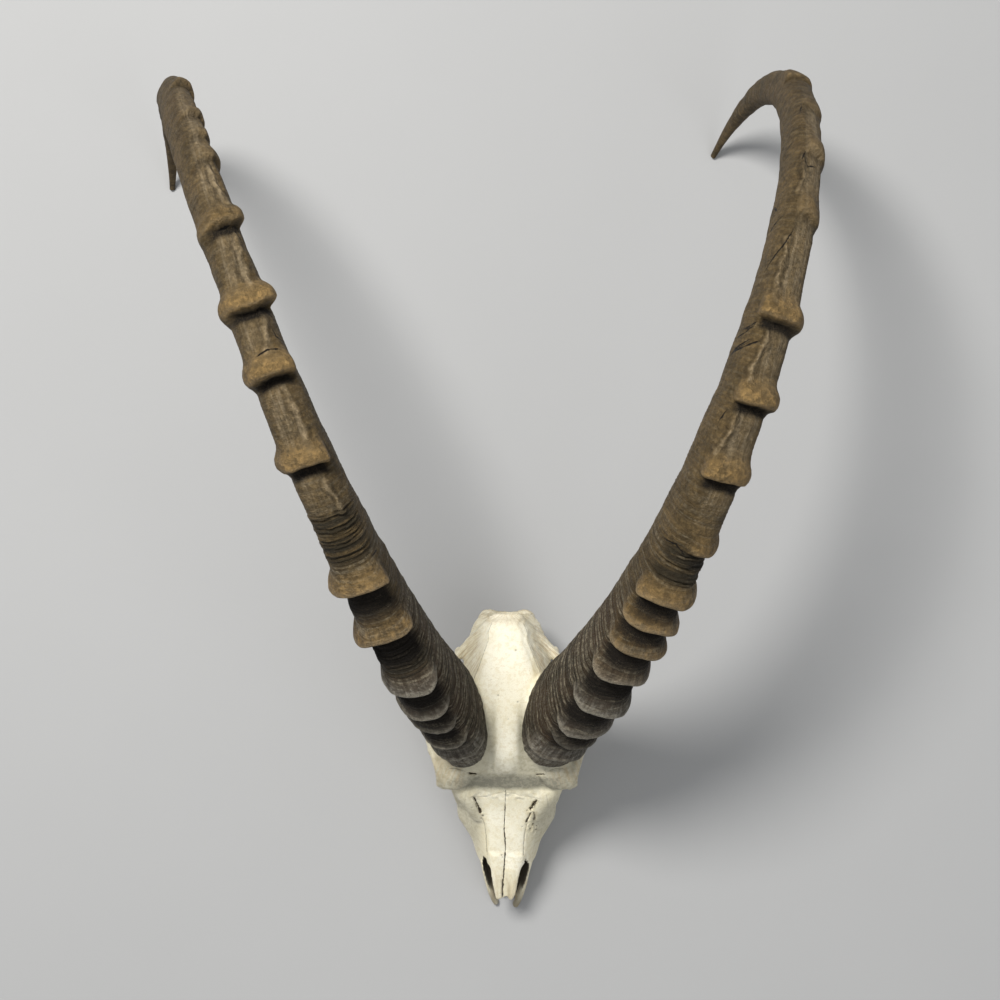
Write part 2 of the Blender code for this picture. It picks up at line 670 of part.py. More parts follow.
def make_hollows(collection, pose_empty):
    mesh = bmesh.new()
    add_pair(mesh, ORBIT_HOLLOW)
    for hollow in (NASAL_HOLLOW, SPINAL_HOLLOW, THROAT_HOLLOW):
        add_limb(mesh, hollow)
    hollows = make_cutter("skull_hollows", mesh, collection)
    hollows.parent = pose_empty
    return hollows


def make_cranium(collection, material, pose_empty, pose, hollows, seats):
    """All the bones of the skull, grown together as one piece."""
    mesh = bmesh.new()
    add_skull_body(mesh)
    add_limb(mesh, FRONTAL_RIDGE)
    for limb in (
        NASAL_BLADE, PREMAXILLA, PALATE_ROD, LACRIMAL, CHEEK_WALL, CHEEK_ARCH, BAR_BEHIND_ORBIT,
        NUCHAL_CREST, NECK_PROCESS, EAR_TUBE, THROAT_PLATE, ORBIT_CUP,
    ):
        add_pair(mesh, limb)
    add_swellings(mesh, BROW, BROW_SLOPE)
    for swelling in (CHEEK_SWELLING, EAR_BULLA, CONDYLE, JAW_JOINT):
        add_swellings(mesh, swelling)
    add_orbit_rims(mesh)
    for horn in (HORN_LEFT, HORN_RIGHT):
        add_stalk(mesh, horn, pose)
    cranium = make_object("cranium", mesh, collection, material)
    cranium.parent = pose_empty
    cranium.data.shade_smooth()
    grow_together(cranium, 6)
    hollow = cranium.modifiers.new("hollows", "BOOLEAN")
    hollow.operation = "DIFFERENCE"
    hollow.object = hollows
    grow_together(cranium, 3)
    thin_out(cranium, BONE_FACES_KEPT)
    seat = cranium.modifiers.new("seats", "BOOLEAN")
    seat.operation = "DIFFERENCE"
    seat.operand_type = "COLLECTION"
    seat.collection = seats
    return cranium


def grow_together(item, rounds):
    """Fuses the forms into one skin and softens where they meet."""
    remesh = item.modifiers.new("one skin", "REMESH")
    remesh.mode = "VOXEL"
    remesh.voxel_size = BONE_GRAIN
    soften = item.modifiers.new("soft joins", "SMOOTH")
    soften.factor = 0.5
    soften.iterations = rounds


def main():
    clear_scene()
    pieces = make_collection("siberian_ibex_skull")
    cutters = make_collection("cutters")
    seats = make_collection("seat_cutters")
    bone = make_material("bone", BONE_COLOUR, 0.6)
    keratin = make_material("horn_keratin", HORN_COLOUR, 0.55)
    enamel = make_material("tooth_enamel", TOOTH_COLOUR, 0.35)
    pose_empty = bpy.data.objects.new("skull_pose", None)
    pieces.objects.link(pose_empty)
    pose = (
        Matrix.Translation((SKULL_MIDLINE_X, SNOUT_TIP_Y, -SNOUT_DROP))
        @ Matrix.Rotation(NOSE_DOWN_PITCH, 4, "X")
    )
    pose_empty.matrix_world = pose
    for name, horn in (("horn_left", HORN_LEFT), ("horn_right", HORN_RIGHT)):
        horn_item = make_horn(name, horn, pieces, keratin)
        make_horn_seat(horn_item, seats)
    make_teeth(pieces, seats, enamel, pose_empty)
    make_floor_cutter(seats)
    hollows = make_hollows(cutters, pose_empty)
    make_cranium(pieces, bone, pose_empty, pose, hollows, seats)
    bpy.context.view_layer.update()


main()
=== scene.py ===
"""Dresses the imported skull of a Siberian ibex: bone, horn sheaths and cheek teeth on a pale floor.

Metres. +Z is up, +Y runs from the snout to the back of the head, +X is the animal's left. The
skull's own tables are in its level frame: across, back from the snout's tip, and up.
"""

import math
from types import SimpleNamespace

import bmesh
import bpy
import numpy as np
from mathutils import Matrix, Vector, noise


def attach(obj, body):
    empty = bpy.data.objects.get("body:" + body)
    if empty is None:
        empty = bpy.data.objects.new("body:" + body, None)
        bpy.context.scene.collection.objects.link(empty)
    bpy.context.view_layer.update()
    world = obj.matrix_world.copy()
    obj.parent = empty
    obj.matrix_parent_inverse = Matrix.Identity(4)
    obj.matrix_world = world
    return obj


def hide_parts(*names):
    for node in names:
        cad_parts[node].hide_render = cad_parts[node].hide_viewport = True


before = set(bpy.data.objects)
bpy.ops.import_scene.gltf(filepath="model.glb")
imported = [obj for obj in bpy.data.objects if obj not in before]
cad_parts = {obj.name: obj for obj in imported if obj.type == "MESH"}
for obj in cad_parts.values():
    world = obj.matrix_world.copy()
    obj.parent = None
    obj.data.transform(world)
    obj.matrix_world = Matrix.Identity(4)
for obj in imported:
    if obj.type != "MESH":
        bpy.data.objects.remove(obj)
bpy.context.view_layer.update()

bl_info = {
    "name": "Ibex skull dressing",
    "version": (1, 0, 0),
    "blender": (4, 5, 0),
    "location": "3D View > Sidebar > Ibex Skull",
    "description": "Grows the bone, horn sheaths and cheek teeth of an ibex skull over its solids",
    "category": "Object",
}

# Where the level skull stands in the frame of the whole object.
SKULL_MIDLINE_X = 0.0348
SNOUT_TIP_Y = -0.3865
SNOUT_DROP = 0.0040
NOSE_DOWN_PITCH = math.radians(5.0)
SKULL_POSE = (
    Matrix.Translation((SKULL_MIDLINE_X, SNOUT_TIP_Y, -SNOUT_DROP))
    @ Matrix.Rotation(NOSE_DOWN_PITCH, 4, "X")
)

# Where the horn sheaths stand on the skull.
HORN_HALF_SPACING = 0.0455
HORN_BASE_Y = -0.1853
HORN_BASE_Z = 0.1265
SEAT_OUTWARD_SLOPE = math.radians(15.0)
SEAT_FORWARD_SLOPE = math.radians(2.0)

# The horns. Angles are in degrees, lengths in metres. "curl" and "bend" are the terms of the
# turning, in radians, that the horn has made at a share of its length: share, its square and its
# cube. "sizes" are shares of the length with the widths across and fore and aft there. "turn" is how
# far the knobbed front faces outward. Each knob has its share of the length, its height, its reach
# towards the tip, the angles round the horn of its inner and outer ends, the depth of the recess
# below it, and how far its inner end curls up and its outer end drops. The lines of "keel" and
# "cracks" are at shares of the length and angles round the horn.
HORN_LEFT = {
    "side": 1,
    "splay": 17.3,
    "lean": 12.2,
    "rise": 60.45,
    "curl": (1.729, 1.077, 0.546),
    "bend": (0.062, -0.061, 0.038),
    "length": 0.920,
    "turn": ((0.0, 4.0), (1.0, 4.0)),
    "sizes": (
        (0.0, 0.0665, 0.0900), (0.13, 0.0580, 0.0790), (0.26, 0.0490, 0.0660), (0.40, 0.0440, 0.0560),
        (0.50, 0.0375, 0.0490), (0.60, 0.0325, 0.0430), (0.72, 0.0290, 0.0370), (0.80, 0.0265, 0.0320),
        (0.87, 0.0205, 0.0250), (0.92, 0.0160, 0.0185), (0.96, 0.0105, 0.0120), (1.0, 0.0050, 0.0050),
    ),
    "knobs": (
        (0.004, 0.0028, 0.012, -60, 120, 0.0005, 0.000, 0.000),
        (0.038, 0.0036, 0.006, -34, 95, 0.0050, 0.006, 0.012),
        (0.062, 0.0052, 0.012, -42, 110, 0.0040, 0.004, 0.002),
        (0.104, 0.0064, 0.015, -52, 115, 0.0070, 0.006, 0.008),
        (0.149, 0.0062, 0.013, -58, 115, 0.0070, 0.005, 0.008),
        (0.183, 0.0062, 0.011, -58, 115, 0.0065, 0.004, 0.007),
        (0.2115, 0.0068, 0.011, -64, 115, 0.0065, 0.002, 0.006),
        (0.241, 0.0082, 0.015, -60, 115, 0.0070, -0.002, 0.003),
        (0.289, 0.0056, 0.013, -6, 115, 0.0026, 0.000, 0.000),
        (0.355, 0.0090, 0.015, -46, 118, 0.0042, -0.001, 0.001),
        (0.418, 0.0098, 0.015, -40, 118, 0.0050, -0.001, 0.001),
        (0.485, 0.0088, 0.015, -52, 118, 0.0042, -0.001, 0.002),
        (0.576, 0.0042, 0.020, -20, 120, 0.0012, 0.000, 0.003),
        (0.640, 0.0042, 0.020, -18, 120, 0.0012, 0.000, 0.003),
        (0.702, 0.0022, 0.016, -24, 120, 0.0008, 0.000, 0.003),
        (0.762, 0.0042, 0.024, -60, 140, 0.0000, 0.000, 0.000),
    ),
    "wrinkles": ((0.258, 0.280, 1.0), (0.020, 0.036, 0.5), (0.120, 0.138, 0.5)),
    "keel": (
        ((0.366, -30), (0.386, -24), (0.404, -20)), ((0.428, -24), (0.452, -19), (0.468, -14)),
        ((0.492, -25), (0.515, -29), (0.545, -29)), ((0.590, -24), (0.612, -17), (0.624, -24)),
    ),
    "cracks": (
        ((0.439, -104), (0.446, -92), (0.4515, -62), (0.4575, -34)),
        ((0.459, -92), (0.462, -78), (0.469, -56)), ((0.4485, -90), (0.4545, -68), (0.4580, -54)),
        ((0.4655, -80), (0.4720, -54)), ((0.642, -112), (0.641, -90), (0.646, -64)),
        ((0.519, -72), (0.529, -55), (0.541, -33), (0.552, -22)),
        ((0.583, -120), (0.5835, -98), (0.577, -86)), ((0.685, -36), (0.694, -31)),
        ((0.622, -27), (0.631, -20)),
        ((0.2835, -58), (0.2865, -30), (0.2825, -12)), ((0.622, -20), (0.617, -8), (0.619, 4)),
        ((0.392, -52), (0.399, -47)), ((0.558, -92), (0.566, -60)),
    ),
}
HORN_RIGHT = {
    "side": -1,
    "splay": 13.7,
    "lean": 9.0,
    "rise": 61.4,
    "curl": (1.406, 2.013, 0.004),
    "bend": (0.262, 0.095, 0.066),
    "length": 0.9615,
    "turn": (
        (0.0, 0.0), (0.25, -3.0), (0.36, -10.0), (0.43, -14.0), (0.48, -18.0), (0.55, -35.0),
        (0.65, -45.0), (1.0, -50.0),
    ),
    "sizes": (
        (0.0, 0.0575, 0.0900), (0.14, 0.0520, 0.0780), (0.26, 0.0455, 0.0650), (0.40, 0.0400, 0.0550),
        (0.50, 0.0345, 0.0480), (0.60, 0.0280, 0.0420), (0.71, 0.0235, 0.0350), (0.78, 0.0215, 0.0300),
        (0.86, 0.0180, 0.0240), (0.92, 0.0125, 0.0175), (0.96, 0.0090, 0.0110), (1.0, 0.0045, 0.0045),
    ),
    "knobs": (
        (0.006, 0.0028, 0.012, -60, 120, 0.0005, 0.000, 0.000),
        (0.036, 0.0034, 0.007, -36, 100, 0.0045, 0.004, 0.003),
        (0.0665, 0.0044, 0.009, -32, 110, 0.0050, 0.005, 0.002),
        (0.0915, 0.0050, 0.009, -38, 112, 0.0060, 0.005, 0.002),
        (0.131, 0.0072, 0.017, -48, 115, 0.0060, 0.006, 0.004),
        (0.198, 0.0088, 0.014, -56, 116, 0.0080, -0.002, 0.008),
        (0.249, 0.0096, 0.015, -54, 116, 0.0070, -0.005, 0.006),
        (0.3575, 0.0092, 0.015, -46, 118, 0.0044, -0.003, 0.002),
        (0.427, 0.0098, 0.015, -54, 118, 0.0052, -0.003, 0.002),
        (0.479, 0.0090, 0.015, -72, 118, 0.0050, -0.001, 0.000),
        (0.5470, 0.0066, 0.014, -62, 118, 0.0040, 0.000, 0.003),
        (0.6120, 0.0038, 0.012, -100, 38, 0.0016, 0.000, 0.012),
        (0.6400, 0.0028, 0.010, -100, 42, 0.0010, 0.000, 0.012),
        (0.6700, 0.0036, 0.012, -100, 46, 0.0012, 0.000, 0.012),
        (0.7320, 0.0040, 0.012, -100, 60, 0.0014, 0.000, 0.012),
    ),
    "wrinkles": ((0.276, 0.305, 1.0), (0.150, 0.180, 0.7), (0.105, 0.120, 0.4)),
    "keel": (
        ((0.372, -16), (0.386, -14), (0.412, -12)), ((0.440, -7), (0.452, -14), (0.467, -24)),
        ((0.489, -12), (0.508, -13), (0.534, -15)), ((0.556, -14), (0.575, -6), (0.597, 2)),
        ((0.310, -24), (0.335, -16)),
    ),
    "cracks": (
        ((0.471, -30), (0.4667, -42), (0.4503, -79), (0.4450, -92)),
        ((0.452, -34), (0.4463, -36), (0.4400, -60), (0.4303, -83)),
        ((0.4382, 12), (0.4395, -6), (0.4372, -24)), ((0.356, -49), (0.352, -45), (0.349, -47)),
        ((0.537, -28), (0.532, -23)), ((0.5395, 22), (0.5400, -2)), ((0.597, -38), (0.5905, -34)),
        ((0.2615, -62), (0.2630, -48)),
    ),
}
HORN_SQUARENESS = 2.25
HORN_BACK_TAPER = 0.20
PATH_STEPS = 210
ROOT_LENGTH = 0.055
ROOT_RINGS = 12
SHEATH_SIDES = 124
SEAT_CUT_REACH = 0.12
# Distances between the sheath's rings of points, at shares of the length.
RING_SPACINGS = ((0.0, 0.00100), (0.30, 0.00108), (0.45, 0.0012), (0.80, 0.0018), (1.0, 0.0012))
CRACK_HALF_WIDTH = 0.64
MILLIMETRES = 1000.0
MILLIMETRES_A_DEGREE = math.pi / 180.0 * MILLIMETRES

# The level skull, cut across at distances from the tip of the snout. Each outline runs from the
# top of the midline, round the animal's left side, to the bottom of the midline.
SKULL_OUTLINES = (
    (0.054, ((0, 0.0562), (0.0115, 0.0556), (0.0178, 0.0512), (0.0225, 0.0410), (0.0268, 0.0270),
             (0.0235, 0.0100), (0.0125, 0.0120), (0, 0.0155))),
    (0.062, ((0, 0.0592), (0.0120, 0.0586), (0.0185, 0.0540), (0.0245, 0.0430), (0.0295, 0.0280),
             (0.0255, 0.0095), (0.0140, 0.0120), (0, 0.0165))),
    (0.075, ((0, 0.0642), (0.0130, 0.0637), (0.0195, 0.0590), (0.0275, 0.0470), (0.0335, 0.0310),
             (0.0290, 0.0095), (0.0165, 0.0110), (0, 0.0180))),
    (0.095, ((0, 0.0722), (0.0140, 0.0717), (0.0215, 0.0670), (0.0340, 0.0530), (0.0435, 0.0370),
             (0.0345, 0.0100), (0.0190, 0.0110), (0, 0.0195))),
    (0.118, ((0, 0.0812), (0.0155, 0.0807), (0.0265, 0.0765), (0.0375, 0.0620), (0.0425, 0.0440),
             (0.0370, 0.0105), (0.0205, 0.0110), (0, 0.0205))),
    (0.132, ((0, 0.0870), (0.0180, 0.0865), (0.0340, 0.0830), (0.0430, 0.0710), (0.0430, 0.0470),
             (0.0380, 0.0105), (0.0215, 0.0110), (0, 0.0210))),
    (0.147, ((0, 0.0955), (0.0200, 0.0955), (0.0430, 0.0925), (0.0430, 0.0740), (0.0405, 0.0450),
             (0.0380, 0.0105), (0.0220, 0.0115), (0, 0.0215))),
    (0.160, ((0, 0.1030), (0.0200, 0.1035), (0.0480, 0.1010), (0.0400, 0.0790), (0.0370, 0.0460),
             (0.0365, 0.0125), (0.0215, 0.0130), (0, 0.0220))),
    (0.175, ((0, 0.1090), (0.0220, 0.1080), (0.0480, 0.1020), (0.0360, 0.0800), (0.0280, 0.0530),
             (0.0200, 0.0300), (0.0100, 0.0270), (0, 0.0270))),
    (0.200, ((0, 0.1130), (0.0240, 0.1110), (0.0390, 0.1020), (0.0360, 0.0820), (0.0310, 0.0580),
             (0.0180, 0.0370), (0.0090, 0.0340), (0, 0.0340))),
    (0.222, ((0, 0.1120), (0.0200, 0.1105), (0.0335, 0.1030), (0.0390, 0.0830), (0.0360, 0.0570),
             (0.0200, 0.0360), (0.0100, 0.0320), (0, 0.0320))),
    (0.245, ((0, 0.1070), (0.0150, 0.1057), (0.0270, 0.0985), (0.0355, 0.0790), (0.0395, 0.0540),
             (0.0220, 0.0350), (0.0110, 0.0300), (0, 0.0300))),
    (0.265, ((0, 0.0998), (0.0130, 0.0985), (0.0220, 0.0915), (0.0295, 0.0725), (0.0360, 0.0500),
             (0.0240, 0.0330), (0.0120, 0.0280), (0, 0.0280))),
    (0.280, ((0, 0.0935), (0.0110, 0.0922), (0.0185, 0.0845), (0.0250, 0.0660), (0.0310, 0.0450),
             (0.0220, 0.0310), (0.0120, 0.0280), (0, 0.0280))),
    (0.290, ((0, 0.0882), (0.0085, 0.0868), (0.0145, 0.0780), (0.0190, 0.0600), (0.0230, 0.0440),
             (0.0180, 0.0310), (0.0100, 0.0290), (0, 0.0290))),
)

# Limbs of bone: points along the limb, and at each the half width and half height of its section.
FRONTAL_RIDGE = (
    ((0, 0.1530, 0.0945), 0.0085, 0.0050),
    ((0, 0.1590, 0.0990), 0.0110, 0.0070),
    ((0, 0.1680, 0.1028), 0.0128, 0.0083),
    ((0, 0.1850, 0.1070), 0.0135, 0.0085),
    ((0, 0.2050, 0.1085), 0.0140, 0.0078),
    ((0, 0.2250, 0.1050), 0.0130, 0.0065),
    ((0, 0.2450, 0.0960), 0.0110, 0.0050),
)
# The bones of the nose differ from side to side: their x is the real one.
NOSE_LIMBS = (
    (
        ((-0.0083, 0.0178, 0.0408), 0.0024, 0.0018),
        ((-0.0080, 0.0255, 0.0440), 0.0043, 0.0024),
        ((-0.0086, 0.0440, 0.0508), 0.0064, 0.0030),
        ((-0.0085, 0.0680, 0.0596), 0.0088, 0.0032),
    ),
    (
        ((0.0032, 0.0172, 0.0406), 0.0024, 0.0018),
        ((0.0046, 0.0255, 0.0440), 0.0046, 0.0024),
        ((0.0058, 0.0440, 0.0508), 0.0066, 0.0030),
        ((0.0080, 0.0680, 0.0596), 0.0088, 0.0032),
    ),
    (
        ((-0.0030, 0.0190, 0.0415), 0.0013, 0.0013),
        ((-0.0026, 0.0330, 0.0470), 0.0024, 0.0020),
        ((-0.0016, 0.0520, 0.0535), 0.0040, 0.0026),
    ),
    (
        ((-0.0096, 0.0030, 0.0050), 0.0030, 0.0042),
        ((-0.0140, 0.0145, 0.0100), 0.0031, 0.0062),
        ((-0.0181, 0.0290, 0.0160), 0.0027, 0.0105),
        ((-0.0213, 0.0440, 0.0230), 0.0024, 0.0150),
        ((-0.0232, 0.0600, 0.0290), 0.0027, 0.0180),
    ),
    (
        ((0.0080, 0.0002, 0.0050), 0.0030, 0.0042),
        ((0.0124, 0.0120, 0.0092), 0.0034, 0.0058),
        ((0.0157, 0.0240, 0.0145), 0.0033, 0.0090),
        ((0.0187, 0.0370, 0.0205), 0.0026, 0.0130),
        ((0.0208, 0.0470, 0.0245), 0.0023, 0.0158),
        ((0.0230, 0.0600, 0.0290), 0.0027, 0.0180),
    ),
)
PAIRED_LIMBS = {
    "floor of the nose": (
        ((0.0085, 0.0190, 0.0075), 0.0030, 0.0018),
        ((0.0105, 0.0300, 0.0110), 0.0048, 0.0018),
        ((0.0120, 0.0450, 0.0150), 0.0068, 0.0018),
        ((0.0130, 0.0640, 0.0175), 0.0068, 0.0020),
    ),
    "palate rod": (
        ((0.0040, 0.0120, 0.0085), 0.0032, 0.0032),
        ((0.0042, 0.0320, 0.0110), 0.0033, 0.0033),
        ((0.0042, 0.0620, 0.0160), 0.0034, 0.0034),
    ),
    "lacrimal": (
        ((0.0250, 0.1060, 0.0600), 0.0090, 0.0120),
        ((0.0315, 0.1220, 0.0690), 0.0110, 0.0150),
        ((0.0400, 0.1370, 0.0755), 0.0120, 0.0165),
        ((0.0480, 0.1520, 0.0800), 0.0100, 0.0150),
    ),
    "cheek wall": (
        ((0.0370, 0.1180, 0.0480), 0.0060, 0.0150),
        ((0.0450, 0.1340, 0.0550), 0.0080, 0.0160),
        ((0.0530, 0.1480, 0.0590), 0.0070, 0.0130),
    ),
    "cheek arch": (
        ((0.0430, 0.1120, 0.0400), 0.0045, 0.0110),
        ((0.0500, 0.1320, 0.0460), 0.0045, 0.0110),
        ((0.0590, 0.1500, 0.0525), 0.0045, 0.0090),
        ((0.0655, 0.1720, 0.0560), 0.0040, 0.0075),
        ((0.0675, 0.1920, 0.0560), 0.0036, 0.0065),
        ((0.0640, 0.2120, 0.0540), 0.0036, 0.0060),
        ((0.0555, 0.2300, 0.0545), 0.0040, 0.0055),
        ((0.0450, 0.2430, 0.0565), 0.0050, 0.0060),
    ),
    "edge of the brow": (
        ((0.0540, 0.1375, 0.0915), 0.0024, 0.0022),
        ((0.0630, 0.1405, 0.0905), 0.0023, 0.0024),
        ((0.0697, 0.1500, 0.0905), 0.0021, 0.0025),
        ((0.0713, 0.1610, 0.0912), 0.0021, 0.0025),
        ((0.0700, 0.1740, 0.0930), 0.0022, 0.0022),
    ),
    "bar behind the orbit": (
        ((0.0660, 0.1830, 0.0970), 0.0045, 0.0050),
        ((0.0690, 0.1860, 0.0800), 0.0040, 0.0045),
        ((0.0670, 0.1860, 0.0600), 0.0045, 0.0050),
    ),
    "nuchal crest": (
        ((0.0000, 0.2925, 0.0845), 0.0036, 0.0040),
        ((0.0105, 0.2920, 0.0830), 0.0036, 0.0040),
        ((0.0185, 0.2840, 0.0750), 0.0034, 0.0040),
        ((0.0270, 0.2740, 0.0640), 0.0036, 0.0050),
        ((0.0370, 0.2630, 0.0570), 0.0038, 0.0060),
        ((0.0480, 0.2480, 0.0560), 0.0040, 0.0060),
        ((0.0540, 0.2330, 0.0550), 0.0040, 0.0055),
    ),
    "neck process": (
        ((0.0255, 0.2640, 0.0460), 0.0055, 0.0090),
        ((0.0275, 0.2690, 0.0300), 0.0045, 0.0075),
        ((0.0270, 0.2710, 0.0170), 0.0034, 0.0055),
        ((0.0255, 0.2715, 0.0090), 0.0028, 0.0036),
    ),
    "ear tube": (
        ((0.0330, 0.2520, 0.0390), 0.0050, 0.0050),
        ((0.0470, 0.2550, 0.0460), 0.0048, 0.0048),
    ),
    "throat plate": (
        ((0.0130, 0.1560, 0.0230), 0.0026, 0.0070),
        ((0.0140, 0.1760, 0.0290), 0.0024, 0.0110),
        ((0.0130, 0.1950, 0.0290), 0.0024, 0.0110),
        ((0.0115, 0.2080, 0.0220), 0.0022, 0.0060),
    ),
    "orbit cup": (
        ((0.0300, 0.1690, 0.0800), 0.0200, 0.0200),
        ((0.0500, 0.1625, 0.0795), 0.0225, 0.0225),
        ((0.0635, 0.1582, 0.0790), 0.0242, 0.0242),
    ),
}

# Rounded swellings: centre, half sizes and outward slope.
SWELLINGS = (
    ((0.0490, 0.1600, 0.0955), (0.0225, 0.0240, 0.0085), math.radians(9.0)),
    ((0.0400, 0.1060, 0.0370), (0.0065, 0.0160, 0.0100), 0.0),
    ((0.0215, 0.2450, 0.0265), (0.0085, 0.0145, 0.0110), 0.0),
    ((0.0165, 0.2830, 0.0365), (0.0105, 0.0095, 0.0135), 0.0),
    ((0.0450, 0.2310, 0.0505), (0.0130, 0.0110, 0.0060), 0.0),
)

# The bony rim of the orbit.
ORBIT_CENTRE = (0.0640, 0.1580, 0.0790)
ORBIT_FACING = (0.954, -0.298, 0.10)
ORBIT_RIM_RADIUS = 0.0220
ORBIT_RIM_THICKNESS = 0.0040

ORBIT_HOLLOW = (
    ((0.0800, 0.1530, 0.0805), 0.0205, 0.0205),
    ((0.0640, 0.1580, 0.0790), 0.0198, 0.0198),
    ((0.0490, 0.1630, 0.0790), 0.0165, 0.0165),
    ((0.0350, 0.1670, 0.0800), 0.0100, 0.0100),
)
NOSE_SLOTS = (
    (
        ((-0.0185, 0.0660, 0.0530), 0.0008, 0.0040),
        ((-0.0194, 0.0590, 0.0440), 0.0023, 0.0120),
        ((-0.0192, 0.0520, 0.0400), 0.0030, 0.0150),
        ((-0.0178, 0.0440, 0.0360), 0.0026, 0.0160),
    ),
    (
        ((0.0172, 0.0670, 0.0540), 0.0008, 0.0040),
        ((0.0166, 0.0590, 0.0440), 0.0030, 0.0120),
        ((0.0160, 0.0520, 0.0400), 0.0040, 0.0150),
        ((0.0150, 0.0440, 0.0360), 0.0034, 0.0160),
    ),
)
MIDLINE_HOLLOWS = (
    (
        ((0, 0.0480, 0.0325), 0.0178, 0.0158),
        ((0, 0.0620, 0.0340), 0.0185, 0.0160),
        ((0, 0.0850, 0.0400), 0.0175, 0.0155),
        ((0, 0.1100, 0.0450), 0.0120, 0.0100),
    ),
    (
        ((0, 0.3080, 0.0460), 0.0105, 0.0105),
        ((0, 0.2920, 0.0470), 0.0105, 0.0105),
        ((0, 0.2600, 0.0560), 0.0085, 0.0085),
    ),
    (
        ((0, 0.2060, 0.0290), 0.0085, 0.0085),
        ((0, 0.1760, 0.0290), 0.0085, 0.0085),
        ((0, 0.1460, 0.0370), 0.0080, 0.0075),
    ),
)
SKULL_TRIANGLES = 190000
STALK_BURIED = 0.024
STALK_RIM_INSET = 0.0022
STALK_FOOT_SHARE = 0.66
STALK_SIDES = 48
SEAT_SLACK = 0.0005

# Lines and holes on the upper side of the bone, in plan: across and back from the snout, in
# millimetres. A seam has its half width and its depth in millimetres and how dark it is, and a pit
# has its radius in millimetres. The temporal lines are faint edges on the braincase.
SEAMS = (
    (((-1.2, 134), (-1.3, 128), (-1.6, 118)), 0.36, 0.2, 0.65),
    (((-1.6, 118), (-1.9, 108), (-2.4, 93), (-1.6, 84), (-1.2, 72)), 0.55, 0.6, 1.0),
    (((-1.2, 72), (-2.0, 62), (-2.6, 51), (-3.4, 38), (-3.6, 30), (-3.9, 22)), 0.58, 0.6, 1.0),
    (((-30, 127), (-28.2, 123.5), (-26.8, 119)), 0.80, 1.6, 1.0),
    (((-27, 119.5), (-25.0, 114.5), (-24.3, 111.5)), 1.30, 2.2, 1.0),
    (((26.5, 123), (24.0, 118.5), (22.5, 114.5)), 1.60, 2.6, 1.0),
    (((21.5, 109.5), (20.3, 106), (18.0, 101.5)), 0.95, 1.8, 0.95),
    (((24.5, 110.5), (25.5, 106.5), (25.0, 102.5)), 1.05, 1.6, 0.65),
    (((-22.5, 104), (-20.2, 96), (-19.2, 86), (-18.8, 74), (-18.2, 65)), 0.45, 0.5, 0.40),
    (((18.2, 98), (16.6, 88), (15.8, 78), (15.6, 66)), 0.45, 0.5, 0.45),
    (((-33, 128), (-20, 127), (-11, 130.5), (-2, 132.5), (8, 130.5), (19, 127), (30, 126)), 0.35, 0.35,
     0.22),
    (((-33.5, 153.8), (-30.5, 152.8), (-28.0, 152.2)), 0.75, 2.4, 1.0),
    (((27.0, 151.2), (29.8, 151.8), (32.5, 152.4)), 0.75, 2.4, 1.0),
    (((-37, 131), (-39, 119), (-37.5, 106)), 0.32, 0.3, 0.18),
    (((36, 130), (38, 119), (37, 106)), 0.32, 0.3, 0.18),
    (((-40, 156.5), (-46, 158.5), (-52, 158.0)), 0.35, 0.4, 0.35),
    (((38, 156.5), (44, 158.5), (50, 158.0)), 0.35, 0.4, 0.35),
)
PITS = (
    (8.0, 265.0, 0.8), (-8.0, 226.5, 0.7), (9.5, 220.5, 0.7), (-4.8, 66.5, 0.8), (-4.2, 64.5, 0.6),
    (-21.9, 107.0, 1.1), (-23.5, 104.5, 0.7), (24.0, 97.0, 1.3), (27.0, 90.0, 1.0), (21.5, 92.5, 1.0),
    (1.0, 206.0, 0.5), (-11.0, 182.0, 0.4), (-14.0, 240.0, 0.4), (-32.0, 117.0, 0.6), (6.0, 170.0, 0.4),
    (-3.5, 163.0, 0.4), (18.5, 113.0, 0.7), (20.5, 115.5, 0.6), (27.5, 94.0, 0.8), (14.0, 96.5, 0.6),
)
TEMPORAL_LINES = (
    ((-14, 287), (-17, 280), (-16.5, 274), (-19, 267), (-22, 259), (-26, 248), (-31, 236)),
    ((15, 287), (18.5, 279), (18, 273), (21.5, 265), (25, 256), (29, 246), (32, 236)),
)

# Upper cheek teeth of one side, front to back: name, distance of its middle from the snout,
# distance from the midline, length along the row, width across it, number of its cusps.
CHEEK_TEETH = (
    ("p2", 0.0845, 0.0240, 0.0080, 0.0072, 1),
    ("p3", 0.0938, 0.0256, 0.0094, 0.0086, 1),
    ("p4", 0.1042, 0.0272, 0.0102, 0.0104, 1),
    ("m1", 0.1162, 0.0287, 0.0126, 0.0122, 2),
    ("m2", 0.1310, 0.0297, 0.0158, 0.0132, 2),
    ("m3", 0.1482, 0.0298, 0.0172, 0.0126, 2),
)
TOOTH_TOP_Z = 0.0165
TOOTH_SIDES = 56
# Rings of the chewing face, as shares of the tooth's outline.
CHEWING_RINGS = (0.93, 0.86, 0.79, 0.71, 0.63, 0.54, 0.45, 0.36, 0.27, 0.18, 0.09)

# The fibres at the back of the head spread from a point on the midline, this far from the snout.
FAN_CENTRE = 0.30

